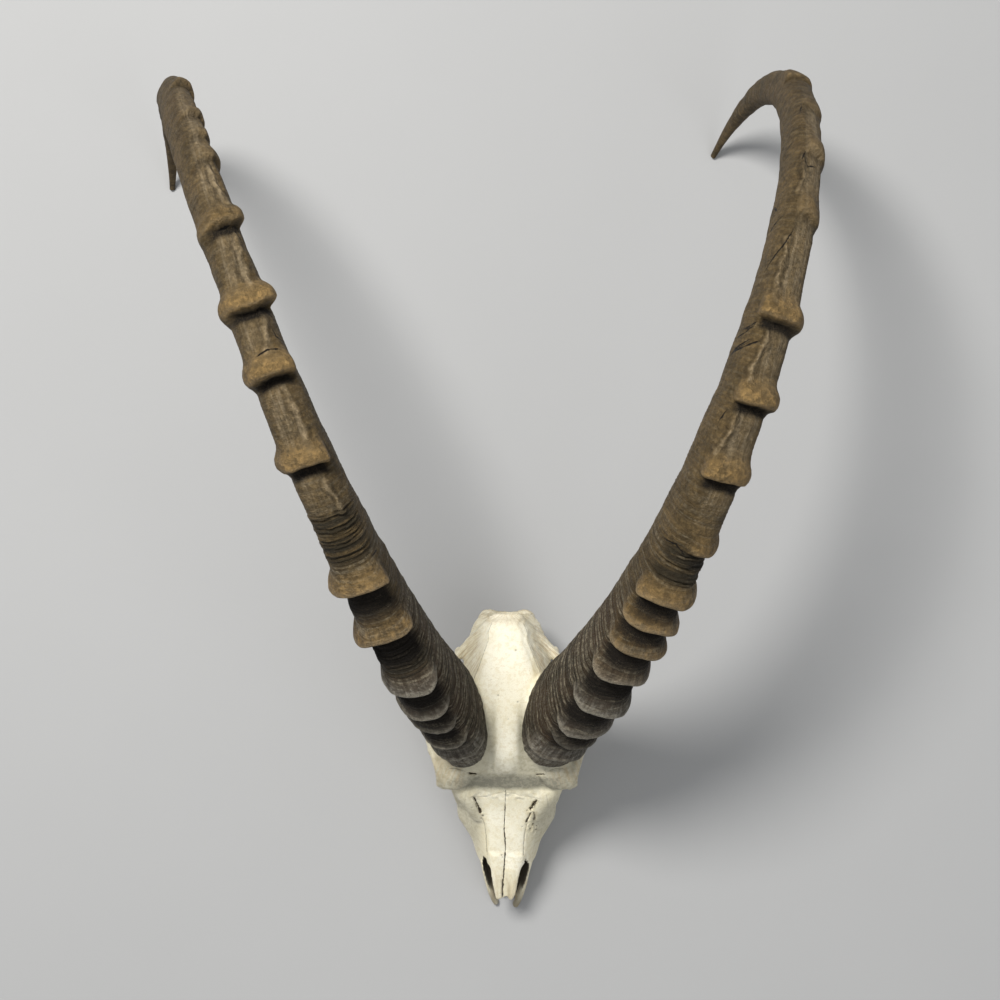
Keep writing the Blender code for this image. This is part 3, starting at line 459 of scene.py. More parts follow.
# Colours that don't come from the settings.
BONE_TONES = {
    "yellowed": (0.66, 0.55, 0.31),
    "fibre": (0.40, 0.27, 0.12),
    "speck": (0.36, 0.27, 0.15),
}
HORN_TONES = {
    "cloud": (0.040, 0.028, 0.011),
    "pale spot": (0.190, 0.130, 0.056),
    "dry panel": (0.285, 0.222, 0.138),
    "valley": (0.020, 0.014, 0.007),
    "rust": (0.074, 0.046, 0.030),
    "hairline": (0.255, 0.218, 0.150),
    "young knob": (0.300, 0.276, 0.224),
    "groove": (0.020, 0.017, 0.012),
    # Pale of the young worn edges, with their painted highlight.
    "young worn edge and highlight": (0.40, 0.365, 0.290),
    "fold": (0.022, 0.018, 0.010),
    "pit": (0.030, 0.020, 0.009),
    # Near-black of the painted shade and dirt in the clefts, also used for the cracks.
    "cleft_shade_and_dirt": (0.008, 0.006, 0.004),
}
TOOTH_TONES = {
    "gum stain": (0.16, 0.10, 0.05),
    "speck": (0.38, 0.27, 0.14),
}

# A large key light behind the head, and a soft fill from the front.
KEY_LIGHT = {"place": (-0.9, 1.2, 2.5), "target": (0.0, 0.0, 0.1), "size": 0.9, "power": 106.0}
FILL_LIGHT = {"place": (1.4, -1.2, 2.4), "target": (0.0, -0.1, 0.1), "size": 2.2, "power": 16.0}
KEY_WARMTH = (1.0, 0.985, 0.955)
SKY_TINT = (0.96, 0.98, 1.0)

# The camera over the skull.
CAMERA_PLACE = (0.0285, 0.0035, 1.731)
CAMERA_LENS = 64.8


def tone_setting(name, description, default):
    return bpy.props.FloatVectorProperty(
        name=name, description=description, subtype="COLOR", default=default
    )


def length_setting(name, description, default, least):
    return bpy.props.FloatProperty(
        name=name, description=description, default=default, min=least, unit="LENGTH"
    )


class BoneSettings(bpy.types.PropertyGroup):
    grain: length_setting("Grain", "Fineness of the bone's skin", 0.0013, 0.001)
    bone: tone_setting("Bone", "Colour of clean bone", (0.78, 0.72, 0.53))
    # Also the colour of the painted light on the top of the vault and the ridge's crest.
    bleached_and_lit: tone_setting("Bleached", "Colour of the whitest bone", (0.92, 0.875, 0.715))
    # Also paints the shade beside the ridge, on the cheeks and on the lower side.
    dull_and_shade: tone_setting("Dull", "Greyer bone of the forehead and hollows", (0.235, 0.225, 0.172))
    # Also paints the shade inside the nose.
    stain_and_shade: tone_setting("Stain", "Dirt in seams, holes and ends", (0.040, 0.027, 0.014))


class HornSettings(bpy.types.PropertyGroup):
    ring_depth: length_setting("Ring depth", "Height of the growth rings", 0.00042, 0.0)
    ring_spacing: length_setting("Ring spacing", "Distance between growth rings", 0.0034, 0.001)
    base: tone_setting("Base", "Charcoal of the young horn", (0.020, 0.017, 0.012))
    middle: tone_setting("Middle", "Brown of the middle of the horn", (0.138, 0.091, 0.037))
    tip: tone_setting("Tip", "Dark brown of the old horn", (0.090, 0.058, 0.025))
    knob: tone_setting("Knob", "Ochre of the rubbed knobs", (0.340, 0.216, 0.082))
    # This colour also paints the highlight along the knobs' worn lips.
    frayed_and_highlit: tone_setting("Frayed", "Pale dry edges and keel", (0.34, 0.26, 0.155))


class ToothSettings(bpy.types.PropertyGroup):
    enamel: tone_setting("Enamel", "Colour of the enamel", (0.72, 0.66, 0.50))
    dentine: tone_setting("Dentine", "Brown of the worn middle", (0.24, 0.14, 0.06))


class StageSettings(bpy.types.PropertyGroup):
    floor_width: length_setting("Floor", "Width of the floor", 6.0, 1.0)
    floor: tone_setting("Floor colour", "Colour of the floor", (0.34, 0.34, 0.34))
    sky: bpy.props.FloatProperty(
        name="Sky", description="Strength of the light all round", default=0.50, min=0.0
    )


def place_node(tree, kind, inputs=None, **settings):
    """Adds a node with its settings, and sets or links its inputs by name or number."""
    item = tree.nodes.new(kind)
    for key, value in settings.items():
        setattr(item, key, value)
    for key, value in (inputs or {}).items():
        join(tree, item.inputs[key], value)
    return item


def join(tree, socket, value):
    if isinstance(value, bpy.types.NodeSocket):
        tree.links.new(value, socket)
    else:
        socket.default_value = value


def reckon(tree, operation, first, second=0.0, third=0.0, clamp=False):
    """A math node."""
    item = tree.nodes.new("ShaderNodeMath")
    item.operation = operation
    item.use_clamp = clamp
    for socket, value in zip(item.inputs, (first, second, third)):
        join(tree, socket, value)
    return item.outputs[0]


def remap(tree, value, low, high, start=0.0, end=1.0):
    """Eases a value from one range to another."""
    item = place_node(
        tree, "ShaderNodeMapRange",
        {"Value": value, "From Min": low, "From Max": high, "To Min": start, "To Max": end},
        interpolation_type="SMOOTHSTEP",
    )
    return item.outputs["Result"]


def times(tree, *factors):
    """Multiplies values one after another."""
    product = factors[0]
    for factor in factors[1:]:
        product = reckon(tree, "MULTIPLY", product, factor)
    return product


def heap(tree, height, *layers):
    """Adds layers to a height. Each layer is a value and how much of it counts."""
    for value, amount in layers:
        height = reckon(tree, "MULTIPLY_ADD", value, amount, height)
    return height


def tint(tree, share, first, second):
    """Mixes two colours by a share."""
    item = tree.nodes.new("ShaderNodeMix")
    item.data_type = "RGBA"
    item.clamp_factor = True
    join(tree, item.inputs["Factor"], share)
    join(tree, item.inputs["A"], first)
    join(tree, item.inputs["B"], second)
    return item.outputs["Result"]


def paint(tree, skin, *coats):
    """Lays coats over a colour. Each coat is a mask and its own colour."""
    for mask, coat in coats:
        skin = tint(tree, mask, skin, coat)
    return skin


def colour(values):
    return (*values, 1.0)


def solid_colours(tones):
    return {name: colour(values) for name, values in tones.items()}


def attribute(tree, name, output="Fac"):
    item = place_node(tree, "ShaderNodeAttribute", attribute_name=name)
    return item.outputs[output]


def group_frame(name, inputs, outputs):
    """An empty node group that takes a vector and named numbers, and its two end nodes."""
    tree = bpy.data.node_groups.new(name, "ShaderNodeTree")
    tree.interface.new_socket("Vector", in_out="INPUT", socket_type="NodeSocketVector")
    for label, default in inputs.items():
        socket = tree.interface.new_socket(label, in_out="INPUT", socket_type="NodeSocketFloat")
        socket.default_value = default
    for label in outputs:
        tree.interface.new_socket(label, in_out="OUTPUT", socket_type="NodeSocketFloat")
    return tree, tree.nodes.new("NodeGroupInput"), tree.nodes.new("NodeGroupOutput")


def shared_group(name, build):
    """The node group of that name, built on first use."""
    return bpy.data.node_groups.get(name) or build(name)


def cloud_noise(tree, vector, scale, detail, roughness=0.5):
    """Soft noise in space."""
    noises = {"Vector": vector, "Scale": scale, "Detail": detail, "Roughness": roughness}
    return place_node(tree, "ShaderNodeTexNoise", noises).outputs["Fac"]


def build_mottling(name):
    """Cloudy patches with finer specks in them."""
    tree, start, end = group_frame(name, {"Patch size": 0.02, "Softness": 0.12}, ("Patches", "Specks"))
    scale = reckon(tree, "DIVIDE", 1.0, start.outputs["Patch size"])
    broad = cloud_noise(tree, start.outputs["Vector"], scale, 6.0, 0.62)
    fine = cloud_noise(tree, start.outputs["Vector"], times(tree, scale, 7.0), 4.0, 0.72)
    low = reckon(tree, "SUBTRACT", 0.5, start.outputs["Softness"])
    high = reckon(tree, "ADD", 0.5, start.outputs["Softness"])
    tree.links.new(remap(tree, broad, low, high), end.inputs["Patches"])
    tree.links.new(remap(tree, fine, 0.38, 0.64), end.inputs["Specks"])
    return tree


def build_cracks(name):
    """A jagged dark line where the side distance passes through zero."""
    tree, start, end = group_frame(name, {"Across": 9.0, "Strength": 0.0, "Jaggedness": 1.4}, ("Line",))
    jag = cloud_noise(tree, start.outputs["Vector"], 420.0, 3.0, 0.6)
    broken = cloud_noise(tree, start.outputs["Vector"], 190.0, 2.0)
    shift = times(tree, reckon(tree, "SUBTRACT", jag, 0.5), start.outputs["Jaggedness"])
    side = reckon(tree, "ABSOLUTE", heap(tree, start.outputs["Across"], (shift, 2.0)))
    width = remap(tree, broken, 0.34, 0.62, 0.45, 1.25)
    line = remap(tree, reckon(tree, "DIVIDE", side, width), 0.55, 1.15, 1.0, 0.0)
    shown = reckon(tree, "MULTIPLY", line, start.outputs["Strength"], clamp=True)
    tree.links.new(shown, end.inputs["Line"])
    return tree


def build_streaks(name):
    """Fine lines that run across the third axis of the vector they are given."""
    tree, start, end = group_frame(
        name, {"Along": 20.0, "Across": 400.0, "Width": 0.15}, ("Lines", "Height")
    )
    stretch = place_node(
        tree, "ShaderNodeCombineXYZ",
        {"X": start.outputs["Along"], "Y": start.outputs["Along"], "Z": start.outputs["Across"]},
    )
    scaled = place_node(
        tree, "ShaderNodeVectorMath", {0: start.outputs["Vector"], 1: stretch.outputs["Vector"]},
        operation="MULTIPLY",
    )
    lines = cloud_noise(tree, scaled.outputs["Vector"], 1.0, 4.0, 0.65)
    low = reckon(tree, "SUBTRACT", 0.53, start.outputs["Width"])
    high = reckon(tree, "ADD", 0.53, start.outputs["Width"])
    tree.links.new(remap(tree, lines, low, high), end.inputs["Lines"])
    tree.links.new(lines, end.inputs["Height"])
    return tree


def flat_fibres(tree, sheath):
    """Turns the sheath's own axes so that the streaks run along the horn."""
    parts = place_node(tree, "ShaderNodeSeparateXYZ", {"Vector": sheath})
    turned = place_node(
        tree, "ShaderNodeCombineXYZ",
        {"X": parts.outputs["Z"], "Y": parts.outputs["X"], "Z": parts.outputs["Y"]},
    )
    return turned.outputs["Vector"]


def use_group(tree, group, inputs):
    item = tree.nodes.new("ShaderNodeGroup")
    item.node_tree = group
    for key, value in inputs.items():
        join(tree, item.inputs[key], value)
    return item


def new_material(name):
    material = bpy.data.materials.new(name)
    material.use_nodes = True
    tree = material.node_tree
    return material, tree, tree.nodes["Principled BSDF"]


def mottling(tree, place, patch_size, softness):
    """Patches and specks of one size, by the shared group."""
    group = shared_group("Mottling", build_mottling)
    return use_group(tree, group, {"Vector": place, "Patch size": patch_size, "Softness": softness}).outputs


def crack_lines(tree, place):
    """The dark lines that the mesh's attributes draw, by the shared group."""
    group = shared_group("Cracks", build_cracks)
    drawn = {"Vector": place, "Across": attribute(tree, "across"), "Strength": attribute(tree, "crack")}
    return use_group(tree, group, drawn).outputs["Line"]


def streaks(tree, vector, along, across, width=0.15):
    """Fine lines of one spacing, by the shared group."""
    group = shared_group("Streaks", build_streaks)
    lines = {"Vector": vector, "Along": along, "Across": across, "Width": width}
    return use_group(tree, group, lines).outputs


def add_bump(tree, shader, height, distance, strength):
    bump = place_node(tree, "ShaderNodeBump", {"Height": height, "Distance": distance, "Strength": strength})
    tree.links.new(bump.outputs["Normal"], shader.inputs["Normal"])


def bone_material(settings):
    """Dry cream bone: painted light on the vault and the ridge's crest, greyer on the forehead, painted
    shade underneath, beside the ridge, on the cheeks and inside the nose, dark in its seams.
    """
    material, tree, shader = new_material("dry_bone")
    place = place_node(tree, "ShaderNodeTexCoord").outputs["Object"]
    tones = solid_colours(BONE_TONES)
    clouds = mottling(tree, place, 0.030, 0.15)
    pores = mottling(tree, place, 0.005, 0.10)
    strands = streaks(tree, attribute(tree, "fibre", "Vector"), 45.0, 1500.0)
    seams = crack_lines(tree, place)
    uneven = remap(tree, clouds["Patches"], 0.0, 1.0, -0.30, 0.30)
    # Bleached bone, and painted light on the top of the vault and the ridge's crest.
    bleach_and_light = reckon(tree, "ADD", attribute(tree, "bleach_and_light"), uneven, clamp=True)
    yellow = times(tree, remap(tree, clouds["Specks"], 0.35, 0.95), 0.30)
    patchy = reckon(tree, "MULTIPLY_ADD", remap(tree, clouds["Specks"], 0.0, 1.0, -0.5, 0.5), 0.25, 1.0)
    # Greyer bone, and painted shade beside the ridge, on the cheeks and on the lower side.
    dull_and_shade = reckon(tree, "MULTIPLY", attribute(tree, "dull_and_shade"), patchy, clamp=True)
    fibrous = attribute(tree, "fibrous")
    fibre = times(tree, strands["Lines"], times(tree, fibrous, 0.75))
    speck = times(tree, remap(tree, pores["Specks"], 0.55, 1.0), 0.20)
    skin = paint(
        tree, colour(settings.bone),
        (bleach_and_light, colour(settings.bleached_and_lit)),
        (yellow, tones["yellowed"]),
        (dull_and_shade, colour(settings.dull_and_shade)),
        (fibre, tones["fibre"]),
        (speck, tones["speck"]),
        # Darker pits and jaw tips, and painted shade inside the nose.
        (attribute(tree, "stain_and_shade"), colour(settings.stain_and_shade)),
        (seams, colour(settings.stain_and_shade)),
    )
    tree.links.new(skin, shader.inputs["Base Color"])
    rough = remap(tree, clouds["Specks"], 0.0, 1.0, 0.45, 0.66)
    rough = reckon(tree, "MAXIMUM", rough, attribute(tree, "stain_and_shade"))
    tree.links.new(rough, shader.inputs["Roughness"])
    shader.inputs["Specular IOR Level"].default_value = 0.35
    height = heap(
        tree, times(tree, pores["Specks"], -0.30),
        (strands["Height"], fibrous), (clouds["Specks"], 0.25), (seams, -1.2),
    )
    add_bump(tree, shader, height, 0.0007, 0.8)
    return material


def horn_material(settings):
    """Keratin: charcoal at the base, brown above, ochre on the knobs, and painted shade and dirt in the
    clefts.
    """
    material, tree, shader = new_material("horn_keratin")
    place = place_node(tree, "ShaderNodeTexCoord").outputs["Object"]
    sheath = attribute(tree, "sheath", "Vector")
    share = attribute(tree, "share")
    knob = attribute(tree, "knob")
    tones = solid_colours(HORN_TONES)
    clouds = mottling(tree, place, 0.026, 0.12)
    spots = mottling(tree, place, 0.0060, 0.12)
    grit = mottling(tree, place, 0.0034, 0.09)
    rings = streaks(tree, sheath, 14.0, 330.0, 0.10)
    thin_rings = streaks(tree, sheath, 10.0, 470.0, 0.050)
    fibres = streaks(tree, flat_fibres(tree, sheath), 30.0, 420.0, 0.14)
    cracks = crack_lines(tree, place)

    def up_horn(low, high, start, end):
        """A value that changes between two shares of the length."""
        return remap(tree, share, low, high, start, end)

    cloudy = times(tree, clouds["Patches"], 0.70)
    pale = times(tree, spots["Patches"], up_horn(0.10, 0.35, 0.10, 0.48))
    panel = times(tree, attribute(tree, "panel"), remap(tree, fibres["Lines"], 0.0, 1.0, 0.20, 0.75))
    valleys = times(
        tree, reckon(tree, "SUBTRACT", 1.0, rings["Lines"]), up_horn(0.10, 0.40, 0.52, 0.26),
        remap(tree, attribute(tree, "panel"), 0.0, 0.8, 1.0, 0.15),
    )
    rusty = times(tree, clouds["Patches"], up_horn(0.16, 0.26, 0.50, 0.0))
    hairs = times(
        tree, thin_rings["Lines"], up_horn(0.10, 0.40, 1.0, 0.16),
        remap(tree, clouds["Specks"], 0.1, 0.8, 0.25, 1.0),
    )
    grown = up_horn(0.128, 0.184, 0.0, 1.0)
    grooved = times(tree, fibres["Lines"], up_horn(0.16, 0.26, 0.80, 0.0))
    rubbed_colour = tint(tree, grown, tones["young knob"], colour(settings.knob))
    rubbed_colour = tint(tree, grooved, rubbed_colour, tones["groove"])
    rubbed = times(
        tree, knob, remap(tree, spots["Patches"], 0.0, 1.0, 0.45, 1.0),
        remap(tree, clouds["Specks"], 0.0, 1.0, 0.50, 1.0), up_horn(0.49, 0.56, 1.0, 0.42),
    )
    # Worn edges of the knobs' lips, with a painted highlight on their roll.
    worn = times(
        tree, attribute(tree, "edge"), remap(tree, spots["Specks"], 0.1, 0.9, 0.25, 0.90),
        up_horn(0.18, 0.34, 1.0, 0.45),
    )
    keel = times(
        tree, attribute(tree, "keel"), remap(tree, spots["Patches"], 0.0, 0.9, 0.16, 0.78),
        up_horn(0.50, 0.62, 1.0, 0.55),
    )
    folds = times(tree, attribute(tree, "folds"), remap(tree, rings["Lines"], 0.1, 0.6, 0.90, 0.25))
    pits = times(tree, grit["Patches"], remap(tree, knob, 0.0, 1.0, 0.42, 0.17))
    deep = reckon(tree, "MULTIPLY_ADD", remap(tree, spots["Specks"], 0.0, 1.0, -0.3, 0.3), 0.5, 1.0)
    # Painted shade and dirt in the recesses below the knobs and along the foot of the keel.
    cleft_shade_and_dirt = reckon(tree, "MULTIPLY", attribute(tree, "cleft_shade_and_dirt"), deep, clamp=True)
    skin = paint(
        tree, colour(settings.middle),
        (up_horn(0.10, 0.32, 1.0, 0.0), colour(settings.base)),
        (up_horn(0.52, 0.74, 0.0, 1.0), colour(settings.tip)),
        (cloudy, tones["cloud"]),
        (pale, tones["pale spot"]),
        (panel, tones["dry panel"]),
        (valleys, tones["valley"]),
        (rusty, tones["rust"]),
        (hairs, tones["hairline"]),
        (rubbed, rubbed_colour),
        (worn, tint(tree, grown, tones["young worn edge and highlight"], colour(settings.frayed_and_highlit))),
        (keel, colour(settings.frayed_and_highlit)),
        (folds, tones["fold"]),
        (pits, tones["pit"]),
        # Painted shade and dirt in the clefts; the cracks take the same near-black.
        (cleft_shade_and_dirt, tones["cleft_shade_and_dirt"]),
        (cracks, tones["cleft_shade_and_dirt"]),
    )
    tree.links.new(skin, shader.inputs["Base Color"])
    rough = remap(tree, spots["Specks"], 0.0, 1.0, 0.50, 0.74)
    tree.links.new(reckon(tree, "MAXIMUM", rough, cleft_shade_and_dirt), shader.inputs["Roughness"])
    shader.inputs["Specular IOR Level"].default_value = 0.20
    height = heap(
        tree,
        times(tree, rings["Height"], up_horn(0.10, 0.50, 1.0, 0.30), remap(tree, knob, 0.0, 1.0, 1.0, 0.35)),
        (fibres["Height"], 0.30), (clouds["Specks"], 0.50), (spots["Specks"], 0.22),
        (grit["Patches"], -0.22), (cracks, -1.5),
    )
    add_bump(tree, shader, height, 0.0019, 0.95)
    return material


def tooth_material(settings):
    """Enamel with brown stains towards the gum and worn dentine between its ridges."""
    material, tree, shader = new_material("tooth_enamel")
    place = place_node(tree, "ShaderNodeTexCoord").outputs["Object"]
    tones = solid_colours(TOOTH_TONES)
    clouds = mottling(tree, place, 0.004, 0.15)
    skin = paint(
        tree, colour(settings.enamel),
        (attribute(tree, "worn"), colour(settings.dentine)),
        (times(tree, clouds["Patches"], attribute(tree, "gum")), tones["gum stain"]),
        (times(tree, clouds["Specks"], 0.15), tones["speck"]),
    )
    tree.links.new(skin, shader.inputs["Base Color"])
    tree.links.new(remap(tree, attribute(tree, "worn"), 0.0, 1.0, 0.24, 0.55), shader.inputs["Roughness"])
    add_bump(tree, shader, clouds["Specks"], 0.0002, 0.5)
    return material


def blend(before, start, end, after, share):
    """A point on the smooth curve through four neighbours, between the middle two."""
    square = share * share
    cube = square * share
    return (
        start * (1.0 - 2.5 * square + 1.5 * cube)
        + end * (0.5 * share + 2.0 * square - 1.5 * cube)
        + before * (-0.5 * share + square - 0.5 * cube)
        + after * (0.5 * cube - 0.5 * square)
    )


def smooth_row(values, steps):
    """Adds steps between neighbouring values of a row, on a smooth curve through them."""
    row = []
    last = len(values) - 1
    for index in range(last):
        before = values[max(index - 1, 0)]
        after = values[min(index + 2, last)]
        for step in range(steps):
            row.append(blend(before, values[index], values[index + 1], after, step / steps))
    row.append(values[last])
    return row


def ease(values, start, end):
    """0 before start, 1 after end and a smooth rise between them."""
    share = np.clip((values - start) / (end - start), 0.0, 1.0)
    return share * share * (3.0 - 2.0 * share)


def hill(values, centre, width):
    return np.exp(-(((values - centre) / width) ** 2))


def grain(points, scale, seed):
    """Smooth noise between -1 and 1 at each point, the same each run."""
    flat = points.reshape(-1, 3) * scale + seed
    return np.array([noise.noise(Vector(point)) for point in flat]).reshape(points.shape[:-1])


def trace_lines(plan, lines):
    """Side distance to the nearest line in half widths, and how strongly it shows, at each point.

    Each line has its corners, its half width and its strength, and each point is in the same plane.
    """
    across = np.full(len(plan), 9.0)
    strength = np.zeros(len(plan))
    nearest = np.full(len(plan), 1e9)
    for line, half_width, dark in lines:
        for start, end in zip(line, line[1:]):
            start, along = np.array(start, float), np.array(end, float) - np.array(start, float)
            reach = math.hypot(*along)
            offset = plan - start
            share = np.clip(offset @ along / reach**2, 0.0, 1.0)
            distance = np.linalg.norm(offset - share[:, None] * along, axis=1)
            sideways = (along[0] * offset[:, 1] - along[1] * offset[:, 0]) / reach
            closer = distance < nearest
            across = np.where(closer, np.copysign(distance, sideways) / half_width, across)
            strength = np.where(closer, dark * (1.0 - ease(distance, 1.6, 3.6)), strength)
            nearest = np.minimum(nearest, distance)
    return np.clip(across, -9.0, 9.0), strength, nearest


def add_loft(mesh, rings, closed=False):
    """Joins rings of points with faces. An open loft gets a face at each end."""
    rows = [[mesh.verts.new(point) for point in ring] for ring in rings]
    followers = rows[1:] + rows[:1] if closed else rows[1:]
    for row, following in zip(rows, followers):
        for index in range(len(row)):
            neighbour = (index + 1) % len(row)
            mesh.faces.new((row[index], row[neighbour], following[neighbour], following[index]))
    if not closed:
        mesh.faces.new(rows[0])
        mesh.faces.new(rows[-1])


def add_limb(mesh, limb, side=1, sides=24, steps=5):
    """A smooth limb along its points, with an oval section that stays upright."""
    centres = smooth_row([Vector((side * x, y, z)) for (x, y, z), _, _ in limb], steps)
    half_widths = smooth_row([half_width for _, half_width, _ in limb], steps)
    half_heights = smooth_row([half_height for _, _, half_height in limb], steps)
    rings = []
    for index, centre in enumerate(centres):
        previous = centres[max(index - 1, 0)]
        following = centres[min(index + 1, len(centres) - 1)]
        along = (following - previous).normalized()
        upright = Vector((0, 0, 1)) if abs(along.z) < 0.8 else Vector((0, 1, 0))
        across = along.cross(upright).normalized()
        tall = across.cross(along)
        rings.append([
            centre
            + across * (half_widths[index] * math.cos(math.tau * turn / sides))
            + tall * (half_heights[index] * math.sin(math.tau * turn / sides))
            for turn in range(sides)
        ])
    add_loft(mesh, rings)


def add_swelling(mesh, centre, half_sizes, slope):
    """An oval swelling on each side of the midline."""
    x, y, z = centre
    for side in (1, -1):
        place = (
            Matrix.Translation((side * x, y, z))
            @ Matrix.Rotation(side * slope, 4, "Y")
            @ Matrix.Diagonal((*half_sizes, 1.0))
        )
        bmesh.ops.create_uvsphere(mesh, u_segments=32, v_segments=20, radius=1.0, matrix=place)


def add_orbit_rims(mesh):
    """The ring of bone round each eye socket."""
    for side in (1, -1):
        centre = Vector((side * ORBIT_CENTRE[0], *ORBIT_CENTRE[1:]))
        facing = Vector((side * ORBIT_FACING[0], *ORBIT_FACING[1:])).normalized()
        level = facing.cross(Vector((0, 0, 1))).normalized()
        steep = level.cross(facing)
        rings = []
        for index in range(64):
            angle = math.tau * index / 64
            outward = level * math.cos(angle) + steep * math.sin(angle)
            middle = centre + outward * ORBIT_RIM_RADIUS
            rings.append([
                middle
                + (outward * math.cos(math.tau * turn / 16) + facing * math.sin(math.tau * turn / 16))
                * ORBIT_RIM_THICKNESS
                for turn in range(16)
            ])
        add_loft(mesh, rings, closed=True)


def add_skull_body(mesh):
    """The face, forehead and braincase, lofted through the outlines."""
    rows = []
    for distance, outline in SKULL_OUTLINES:
        left = smooth_row([Vector((x, distance, z)) for x, z in outline], 6)
        right = [Vector((-point.x, point.y, point.z)) for point in reversed(left[1:-1])]
        rows.append(left + right)
    tracks = [smooth_row(list(track), 6) for track in zip(*rows)]
    add_loft(mesh, [list(ring) for ring in zip(*tracks)])


def horn_directions(horn, shares):
    """Rows of directions at shares of the length: along the horn, to its front, to its flank."""
    splay = math.radians(horn["splay"])
    lean = math.radians(horn["lean"])
    back = np.array((math.sin(splay), math.cos(splay), 0.0))
    outward = np.array((math.cos(splay), -math.sin(splay), 0.0))
    upward = np.array((0.0, 0.0, math.cos(lean))) + outward * math.sin(lean)
    aside = np.cross(back, upward)
    pitch = math.radians(horn["rise"]) - sum(term * shares ** (n + 1) for n, term in enumerate(horn["curl"]))
    bend = sum(term * shares ** (n + 1) for n, term in enumerate(horn["bend"]))
    pitch, bend = pitch[:, None], bend[:, None]
    along = (back * np.cos(pitch) + upward * np.sin(pitch)) * np.cos(bend) + aside * np.sin(bend)
    convex = upward * np.cos(pitch) - back * np.sin(pitch)
    outer = np.cross(along, convex)
    outer /= np.linalg.norm(outer, axis=1)[:, None]
    convex = np.cross(outer, along)
    turn = np.radians(np.interp(shares, *zip(*horn["turn"])))[:, None]
    front = convex * np.cos(turn) + outer * np.sin(turn)
    return along, front, np.cross(along, front)


def ring_shares(horn):
    """Shares of the length that get a ring: closest where the knobs crowd."""
    shares = [0.0]
    while shares[-1] < 1.0:
        spacing = np.interp(shares[-1], *zip(*RING_SPACINGS))
        shares.append(shares[-1] + spacing / horn["length"])
    shares = np.array(shares)
    return shares / shares[-1]


def horn_centres(horn, shares):
    steps = np.arange(PATH_STEPS + 1) / PATH_STEPS
    along = horn_directions(horn, steps[:-1] + 0.5 / PATH_STEPS)[0]
    path = np.vstack((np.zeros(3), np.cumsum(along * horn["length"] / PATH_STEPS, axis=0)))
    return np.stack([np.interp(shares, steps, path[:, axis]) for axis in range(3)], axis=1)


def soft_row(places, values, shares):
    """The value at each share of the length, with the corners between places softened."""
    nearby = np.linspace(-0.02, 0.02, 9)
    return np.mean([np.interp(np.clip(shares + shift, 0, 1), places, values) for shift in nearby], axis=0)


def rounded(values, squareness):
    return np.sign(values) * np.abs(values) ** (2.0 / squareness)


